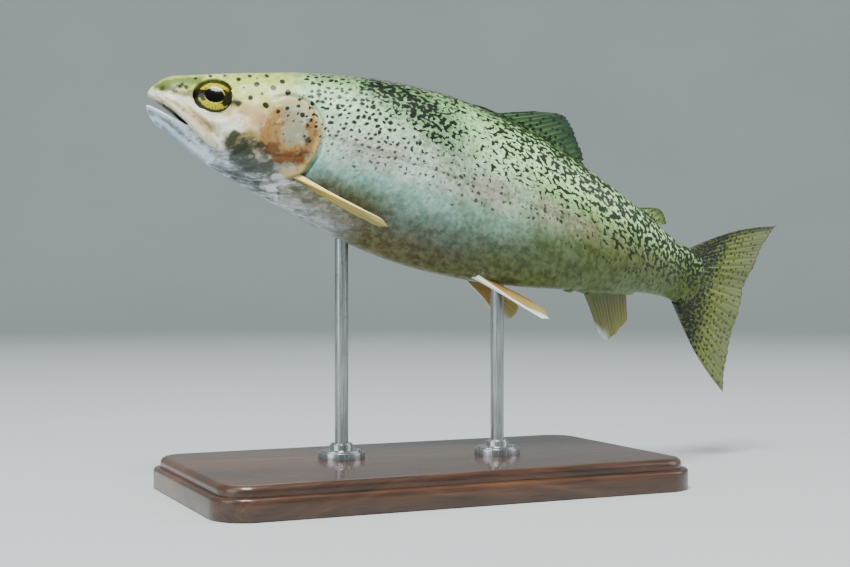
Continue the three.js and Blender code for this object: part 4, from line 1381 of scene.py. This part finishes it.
blotches = m.noise(lie, 0.22, 3)
broken = m.plus(m.sway(grain, 1.8), m.sway(blotches, 1.6))
for name, (code, strength, _) in HEAD_PAINTS.items():
    sprayed = m.attribute(name, "Fac")
    amount = m.plus(sprayed, m.times(broken, m.step(sprayed, 0.0, 0.25)))
    colour = m.mix(m.step(amount, 0.1, 0.95, 0.0, strength), colour, code)
shade = m.times(m.step(down, 0.7, 0.8), m.step(at, 26, 38), m.fall(at, 64, 86))
shade = m.times(shade, m.step(m.noise(m.stretch(lie, (0.5, 1, 1)), 0.34, 4, roughness=0.6), 0.47, 0.6))
colour = m.mix(m.times(shade, 0.62), colour, "#3b403f")
peppered = m.most(m.attribute("cover_tan", "Fac"), m.attribute("cover_orange", "Fac"))
peppered = m.times(m.step(peppered, 0.1, 0.8), m.step(m.noise(lie, 0.75, 3, roughness=0.6), 0.5, 0.64))
colour = m.mix(m.times(peppered, 0.5), colour, "#4a331c")
print("with the head's paints:", len(markings.nodes), "nodes")

# %% [markdown]
# ## Spots
#
# Black spots lie over the colours, one to a cell of a Voronoi pattern. A noise first nudges the places
# about, so that no spot comes out round. Towards the tail, and along the ridge of the back, the spots
# run together and leave a pale network: there the black is a noise, cut off at a level.

# %% Two tools for spots
def spots(recipe, vector, cell, radius, soft, density, seed):
    """Round-ish spots, one to a cell of the pattern, and only in that share of the cells."""
    shifted = recipe.add("ShaderNodeVectorMath", {0: vector, 1: (seed, seed * 1.7, 0)}, operation="ADD")
    node = recipe.add("ShaderNodeTexVoronoi", {"Vector": shifted, "Scale": 1 / cell, "Randomness": 0.68},
                      voronoi_dimensions="2D").node
    lot, size, _ = recipe.parts(node.outputs["Color"])
    reach = recipe.plus(radius, recipe.sway(size, 0.12))
    gap = recipe.minus(node.outputs["Distance"], reach)
    spot = recipe.fall(gap, -soft, soft)
    chosen = recipe.math("LESS_THAN", lot, density)
    return recipe.times(spot, chosen)


def nudge(vector, scale, amount):
    """The vector pushed about by a noise, so that round spots come out ragged."""
    push = m.add("ShaderNodeTexNoise", {"Vector": vector, "Scale": scale, "Detail": 2.0}, output=1)
    push = m.add("ShaderNodeVectorMath", {0: push, 1: (-0.5, -0.5, -0.5)}, operation="ADD")
    push = m.add("ShaderNodeVectorMath", {0: push, "Scale": amount}, operation="SCALE")
    return m.add("ShaderNodeVectorMath", {0: vector, 1: push}, operation="ADD")


print("ready to spot:", spots.__name__, "and", nudge.__name__)

# %% Lay the spots over the colours
ragged = nudge(nudge(lie, 0.32, 2.4), 1.1, 0.9)
limit = m.step(at, 140, 235, 0.0, 0.3)
low_on_side = m.minus(wavy, limit)
share = m.step(at, 150, 200)
front_worms = m.noise(m.stretch(ragged, (0.85, 1.15, 0)), 0.62, 0.6)
rear_worms = m.noise(m.stretch(ragged, (0.6, 0.95, 0)), 0.62, 0.6)
worms = m.mix(share, front_worms, rear_worms)
wormy = m.times(m.step(at, 96, 140), m.fall(low_on_side, 0.38, 0.5))
wormy = m.most(wormy, m.most(ridge, saddle))
cover = m.step(low_on_side, 0.12, 0.44, 0.475, 0.59)
cover = m.minus(cover, m.times(m.most(ridge, saddle), 0.05))
cover = m.plus(cover, m.times(m.minus(1.0, wormy), 0.3))
worms = m.step(m.minus(worms, cover), -0.03, 0.03)
spot_radius = m.step(low_on_side, 0.25, 0.55, 0.31, 0.2)
density = m.times(m.step(low_on_side, 0.4, 0.62, 0.97, 0.0), m.step(at, 50, 60),
                  m.fall(wormy, 0.2, 0.7))
body_spots = m.most(spots(m, ragged, 2.6, spot_radius, 0.08, density, 3.0), worms)
on_head = m.plus(m.attribute("head_spot", "Fac"), m.sway(grain, 1.6))
head_spots = m.step(on_head, 2.78, 3.22)
specks = spots(m, ragged, 1.9, 0.22, 0.1, m.step(wavy, 0.42, 0.75, 0.7, 0.0), 23.0)
specks = m.times(specks, m.step(at, 56, 66), 0.5)
dark = m.most(body_spots, head_spots, specks)
spot_paint = m.mix(rearward, BLACK, "#1c2812")
strength = m.most(m.step(low_on_side, 0.35, 0.7, 0.97, 0.72), m.times(head, 0.93))
colour = m.mix(m.times(dark, strength), colour, spot_paint)
line = m.size(m.minus(down, LATERAL_LINE))
line = m.times(m.step(line, 0.004, 0.014, 0.3, 0.0), m.step(at, 62, 70))
colour = m.mix(line, colour, "#5c6450")
# painted shade: the head's skin is darkened where it lies deep inside the plain body, in the mouth, the
# gill slits and other hollows
shade_in_hollows = m.times(m.step(m.attribute("depth", "Fac"), 1.1, 2.6), m.fall(at, 66, 70))
colour = m.mix(m.times(shade_in_hollows, 0.92), colour, "#231a18")

silver = m.times(m.step(wavy, 0.26, 0.45), m.step(wavy, 0.58, 0.8, 1.0, 0.1), m.step(at, 50, 64, 0.35, 1.0))
silver = m.times(silver, m.step(cloud, 0.3, 0.7, 0.6, 1.0), m.minus(1.0, dark))
put_out(Colour=colour, Silver=silver, Dark=dark)
print("all the markings:", len(markings.nodes), "nodes")

# %% [markdown]
# ## Finish of the skin and the scales
#
# A live fish is wet, and its silver comes from tiny mirrors under a clear slime. So the silver share of
# the markings makes the paint a little metallic, and a clear coat lies over all of it. The skin has
# fine pores on the head. On the scales each one differs slightly in tone, and each is painted darkest at
# its root, as shade under the scale that lies over it.

# %% Finish the skin and the scales
skin_finish, r, feed = finish("trout_skin", Coat_Weight=0.1, Coat_Roughness=0.14, Specular_IOR_Level=0.14,
                              Subsurface_Weight=0.03, Subsurface_Scale=0.004)
marks = use(r, markings)
place = r.add("ShaderNodeTexCoord", output=OBJECT_PLACE)
pores = r.noise(place, 900, 3)
folds = r.noise(place, 160, 3)
height = r.plus(r.times(pores, 0.35), folds)
bump = r.add("ShaderNodeBump", {"Height": height, "Strength": 0.22, "Distance": 0.0006})
feed(Base_Color=marks["Colour"], Metallic=r.times(marks["Silver"], 0.25),
     Roughness=r.step(folds, 0.3, 0.7, 0.34, 0.48), Normal=bump)
dress(skin, skin_finish)

scale_finish, r, feed = finish("trout_scales", Coat_Weight=0.06, Coat_Roughness=0.18,
                               Specular_IOR_Level=0.16)
marks = use(r, markings)
tint = r.attribute("tint", "Fac")
along_scale = r.attribute("along_scale", "Fac")
# a random tone for each scale, with painted shade at its root, where the scale before it lies over it
tone_and_root_shade = r.plus(r.step(tint, 0.0, 1.0, -0.09, 0.09), r.step(along_scale, 0.2, 0.9, -0.08, 0.04))
tone_and_root_shade = r.plus(tone_and_root_shade, 1.0)
toned = r.add("ShaderNodeVectorMath", {0: marks["Colour"], "Scale": tone_and_root_shade}, operation="SCALE")
feed(Base_Color=toned, Metallic=r.times(marks["Silver"], 0.42),
     Roughness=r.step(tint, 0.0, 1.0, 0.3, 0.42))
for piece in scales:
    dress(piece, scale_finish)
print("skin and scales share", markings.name)

# %% [markdown]
# ## Finish of the fins
#
# A fin's skin is thin and a little see-through, its rays are opaque. Each fin has its own colours from
# root to edge, a leading edge and a tip that are often milky white, and on the dorsal, adipose and tail
# fins dark spots in the same style as the body's. The joints of the rays are fine cross lines in the bump.

# %% Finish the fins
JOINTS = 150.0  # how fast the joints follow each other along a ray
FIN_PAINTS = {  # root, middle, edge, leading edge, tip, spot strength, how much white there is
    "dorsal": ("#46663a", "#3f5f3c", "#20382c", "#56704a", "#647c56", 0.94, 0.25),
    "adipose": ("#8fae4e", "#97b466", "#3f5628", "#1f2a15", "#1f2a15", 0.94, 0.8),
    "caudal": ("#4a5822", "#737e3a", "#6c7650", "#2c3418", "#6c7058", 0.93, 0.6),
    "anal": ("#3d5632", "#69663a", "#7c7a3e", "#6f6e4a", "#cfe4e0", 0.0, 0.9),
    "pectoral": ("#665220", "#bda552", "#a5955a", "#f2e08c", "#e0ca78", 0.0, 1.0),
    "pelvic": ("#6b6438", "#b08a50", "#98905a", "#f8f4e8", "#e2f0ee", 0.0, 1.0),
}


def finish_fin(name, root, middle, edge, leading, tip, spotted, white):
    material, r, feed = finish(f"{name}_fin_skin", Coat_Weight=0.15, Coat_Roughness=0.15,
                               Specular_IOR_Level=0.25)
    along, across, ray = r.parts(r.attribute("vane"))
    lie = r.attribute("lie")
    cloud = r.noise(lie, 0.16, 3)
    shown = r.step(along, 0.2, 1.0) if name == "caudal" else along  # the body covers the tail fin's root
    way = r.plus(shown, r.sway(cloud, 0.3))
    colour = r.ramp(way, [(0.0, root), (0.45, middle), (0.95, edge)])
    # a painted highlight along the rays' ridges, and painted shade in the thin skin between the rays
    colour = r.mix(r.times(ray, 0.35), colour, "#e8e2bd", "SOFT_LIGHT")
    colour = r.mix(r.times(r.step(ray, 0.0, 0.35, 0.3, 0.0), r.step(along, 0.1, 0.4)), colour, "#3d4630")
    front = r.step(r.plus(across, r.times(cloud, 0.06)), 0.05, 0.13, white, 0.0)
    colour = r.mix(front, colour, leading)
    corner = r.times(r.step(along, 0.72, 0.95), r.step(across, 0.1, 0.42, white, 0.0))
    colour = r.mix(corner, colour, tip)
    if spotted:
        size = r.step(shown, 0.1, 0.6, 0.37, 0.25)
        dark = spots(r, lie, 2.5, size, 0.08, r.step(shown, 0.3, 1.0, 0.97, 0.45), 5.0)
        worms = r.minus(r.noise(r.stretch(lie, (0.6, 0.95, 0)), 0.8, 0.6), r.times(shown, 0.6))
        dark = r.most(dark, r.step(worms, 0.44, 0.5))
        fade = r.step(along, 0.3, 1.0, spotted, 0.6 * spotted)
        colour = r.mix(r.times(dark, fade), colour, BLACK)
    joints = r.math("SINE", r.times(along, JOINTS))
    height = r.times(r.plus(joints, 1.0), r.step(ray, 0.2, 0.7))
    bump = r.add("ShaderNodeBump", {"Height": height, "Strength": 0.25, "Distance": 0.0002})
    film = r.step(ray, 0.05, 0.5, 0.86 if not spotted else 0.93, 1.0)
    film = r.most(film, r.fall(along, 0.15, 0.4))
    feed(Base_Color=colour, Roughness=r.step(cloud, 0.3, 0.7, 0.32, 0.46), Normal=bump, Alpha=film)
    return material


for name, colours in FIN_PAINTS.items():
    material = finish_fin(name, *colours)
    for node, piece in fins.items():
        if node.startswith(name):
            dress(piece, material)
print("fins finished:", len(fins))

# %% [markdown]
# ## Finish of the eyes
#
# The iris is yellow with fine streaks that run out from the pupil. A dark bar crosses it from front to
# back, so that the pupil hardly stands out. A thin bright ring borders the pupil above and below, and the
# pupil lies a little nearer to the snout. The cornea's wet gloss is a clear coat.

# %% Finish the eyes
eye_finish, r, feed = finish("trout_eye", Roughness=0.16, Coat_Weight=0.3, Coat_Roughness=0.02,
                             Specular_IOR_Level=0.12)
iris = r.attribute("iris")
back, up, _ = r.parts(iris)
from_middle = r.math("SQRT", r.plus(r.square(back), r.square(up)))
turn = r.math("ARCTAN2", up, back)
streak_place = r.add("ShaderNodeCombineXYZ", {0: r.times(turn, 5.0), 1: r.times(from_middle, 2.0)})
streaks = r.noise(streak_place, 3.0, 4)
blotches = r.noise(iris, 4.0, 3)
colour = r.ramp(streaks, [(0.3, "#4c4c0c"), (0.5, "#a39c14"), (0.68, "#e6dc34")])
colour = r.mix(r.step(from_middle, 0.7, 0.78), colour, "#2c2e12")
width = r.plus(r.times(back, 0.12), r.step(blotches, 0.3, 0.7, 0.28, 0.46))
bar = r.minus(r.size(r.minus(up, r.times(back, 0.14))), width)
bar = r.times(r.fall(bar, -0.04, 0.07), r.step(r.size(back), 0.2, 0.3))
colour = r.mix(r.times(bar, 0.97), colour, "#0d0e06")
ring = r.times(r.step(from_middle, 0.41, 0.43), r.fall(from_middle, 0.45, 0.49))
colour = r.mix(r.times(ring, r.step(r.size(up), 0.1, 0.3), 0.45), colour, "#f0e668")
pupil = r.math("SQRT", r.plus(r.square(r.plus(back, 0.02)), r.times(r.square(up), 1.25)))
colour = r.mix(r.fall(pupil, 0.43, 0.46), colour, "#040504")
feed(Base_Color=colour)
for piece in eyes.values():
    dress(piece, eye_finish)
print("eyes finished:", len(eyes))

# %% [markdown]
# ## Finish of the stand
#
# The board is walnut under satin varnish. Its grain is a noise stretched along the board, bent by a slower
# one, with fine dark pores. The brushing of the steel runs up and down the posts.

# %% Finish the wood and the steel
wood, r, feed = finish("walnut", Coat_Weight=0.5, Coat_Roughness=0.12)
place = r.add("ShaderNodeTexCoord", output=OBJECT_PLACE)
slow = r.noise(r.stretch(place, (6, 30, 30)), 1.0, 2, output=1)
bent_place = r.mix(0.06, place, slow, "ADD")
grain = r.noise(r.stretch(bent_place, (9, 190, 190)), 1.0, 5, roughness=0.62)
figure = r.noise(r.stretch(bent_place, (3, 40, 40)), 1.0, 3)
pores = r.noise(r.stretch(place, (60, 1900, 1900)), 1.0, 2)
colour = r.ramp(r.plus(r.times(grain, 0.6), r.times(figure, 0.4)),
                [(0.32, "#24150d"), (0.48, "#452a1a"), (0.6, "#5e3c25"), (0.72, "#754f31")])
colour = r.mix(r.step(pores, 0.56, 0.68, 0.0, 0.65), colour, "#1a0f09")
bump = r.add("ShaderNodeBump", {"Height": r.minus(grain, r.times(pores, 0.5)),
                                "Strength": 0.12, "Distance": 0.0004})
feed(Base_Color=colour, Roughness=r.step(grain, 0.3, 0.7, 0.32, 0.46), Normal=bump)

steel, r, feed = finish("brushed_steel", Metallic=1.0)
place = r.add("ShaderNodeTexCoord", output=OBJECT_PLACE)
brushing = r.noise(r.stretch(place, (2600, 2600, 60)), 1.0, 3)
smudges = r.noise(place, 120, 2)
colour = r.mix(r.step(brushing, 0.35, 0.65), "#8f9294", "#b9bcbe")
bump = r.add("ShaderNodeBump", {"Height": brushing, "Strength": 0.08, "Distance": 0.0001})
feed(Base_Color=colour, Roughness=r.plus(r.step(smudges, 0.4, 0.7, 0.24, 0.34),
                                         r.times(brushing, 0.06)), Normal=bump)
for node, piece in stand_pieces.items():
    dress(piece, wood if node == "stand_base" else steel)
print("stand finished:", len(stand_pieces), "pieces")

# %% [markdown]
# ## What each piece stands for
#
# Every new piece rides on the one body there is, and takes the place of the solids it was modelled on.

# %% Put the pieces in the solids' places
FLESH_NODES = ("head", "lower_jaw", "maxilla_left", "maxilla_right", "gill_cover_left", "gill_cover_right",
               "trunk", "tail")
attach(skin, "root")
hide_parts(*FLESH_NODES)
for piece in scales:
    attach(piece, "root")
for slot_name, pieces in (("fin", fins), ("eye", eyes)):
    for node, piece in pieces.items():
        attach(piece, "root")
        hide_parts(node)
for node, piece in stand_pieces.items():
    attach(piece, "root")
    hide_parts(node)
print("nodes stood for:", len(FLESH_NODES) + len(fins) + len(eyes) + len(stand_pieces))

# %% [markdown]
# ## Floor, lights and camera
#
# The floor is a wide pale disc whose rim curves up all round, so no horizon shows from any side. The light
# is a large soft one from above and in front, as daylight comes down through water, with weaker ones
# from both sides and from behind. The camera is low, in front of the fish and to its left, and level.

# %% Make the floor
FLAT_RADIUS = 1.9  # of the floor's level part, in metres
CURVE_RADIUS, CURVE_STEPS = 0.9, 12  # of its rim
start_fresh()
bpy.ops.mesh.primitive_circle_add(vertices=96, radius=FLAT_RADIUS, fill_type="NGON")
floor = bpy.context.object
floor.name = "floor"
bpy.ops.object.mode_set(mode="EDIT")
for i in range(CURVE_STEPS):
    low, high = (math.radians(90 * k / CURVE_STEPS) for k in (i, i + 1))
    rise = CURVE_RADIUS * (math.cos(low) - math.cos(high))
    radius = FLAT_RADIUS + CURVE_RADIUS * math.sin(low)
    wider = FLAT_RADIUS + CURVE_RADIUS * math.sin(high)
    select(floor, lambda edge: all(abs(v.co.xy.length - radius) < 1e-3 for v in edge.verts), "edges")
    bpy.ops.mesh.extrude_edges_move(TRANSFORM_OT_translate={"value": (0, 0, rise)})
    growth = wider / radius
    bpy.ops.transform.resize(value=(growth, growth, 1), center_override=(0, 0, 0))
bpy.ops.object.mode_set(mode="OBJECT")
bpy.ops.object.shade_smooth()
backdrop, r, feed = finish("backdrop", Roughness=0.85)
place = r.add("ShaderNodeTexCoord", output=OBJECT_PLACE)
feed(Base_Color=r.mix(r.noise(place, 3.0, 2), "#b9c2c3", "#c3cbcb"))
dress(floor, backdrop)
print("floor:", len(floor.data.polygons), "faces")

# %% Set the lights and the camera
def add_light(name, place, size, power, colour, target=(0, 0, 0.1)):
    lamp = bpy.data.lights.new(name, "AREA")
    lamp.shape = "DISK"
    lamp.size = size
    lamp.energy = power
    lamp.color = colour
    light = bpy.data.objects.new(name, lamp)
    bpy.context.scene.collection.objects.link(light)
    light.location = place
    light.rotation_euler = (Vector(target) - Vector(place)).to_track_quat("-Z", "Y").to_euler()


add_light("daylight", (-0.38, -0.6, 1.45), 0.65, 44, (1.0, 0.99, 0.96))
add_light("fill_left", (-1.2, -0.3, 0.5), 0.9, 6, (0.95, 0.98, 1.0))
add_light("fill_right", (1.1, -0.5, 0.6), 0.9, 5, (1.0, 0.98, 0.95))
add_light("back", (0.3, 1.0, 1.0), 0.8, 2, (0.97, 1.0, 1.0))
world = bpy.data.worlds.new("room")
world.use_nodes = True
room_light = world.node_tree.nodes["Background"].inputs
room_light["Color"].default_value = paint("#dfe8ea")
room_light["Strength"].default_value = 0.42
bpy.context.scene.world = world

lens = bpy.data.cameras.new("camera")
camera = bpy.data.objects.new("camera", lens)
bpy.context.scene.collection.objects.link(camera)
FROM_SNOUT = Vector((-120.5, -515.8, -73.0)) * MM
VIEW_WIDTH = 34  # degrees
camera.location = Vector(snout) * MM + FROM_SNOUT
aim = Vector((0.002, 0.0, camera.location.z))
camera.rotation_euler = (aim - camera.location).to_track_quat("-Z", "Y").to_euler()
lens.angle = math.radians(VIEW_WIDTH)
bpy.context.scene.camera = camera
print("camera", round((aim - camera.location).length, 2), "m from the stand's middle")
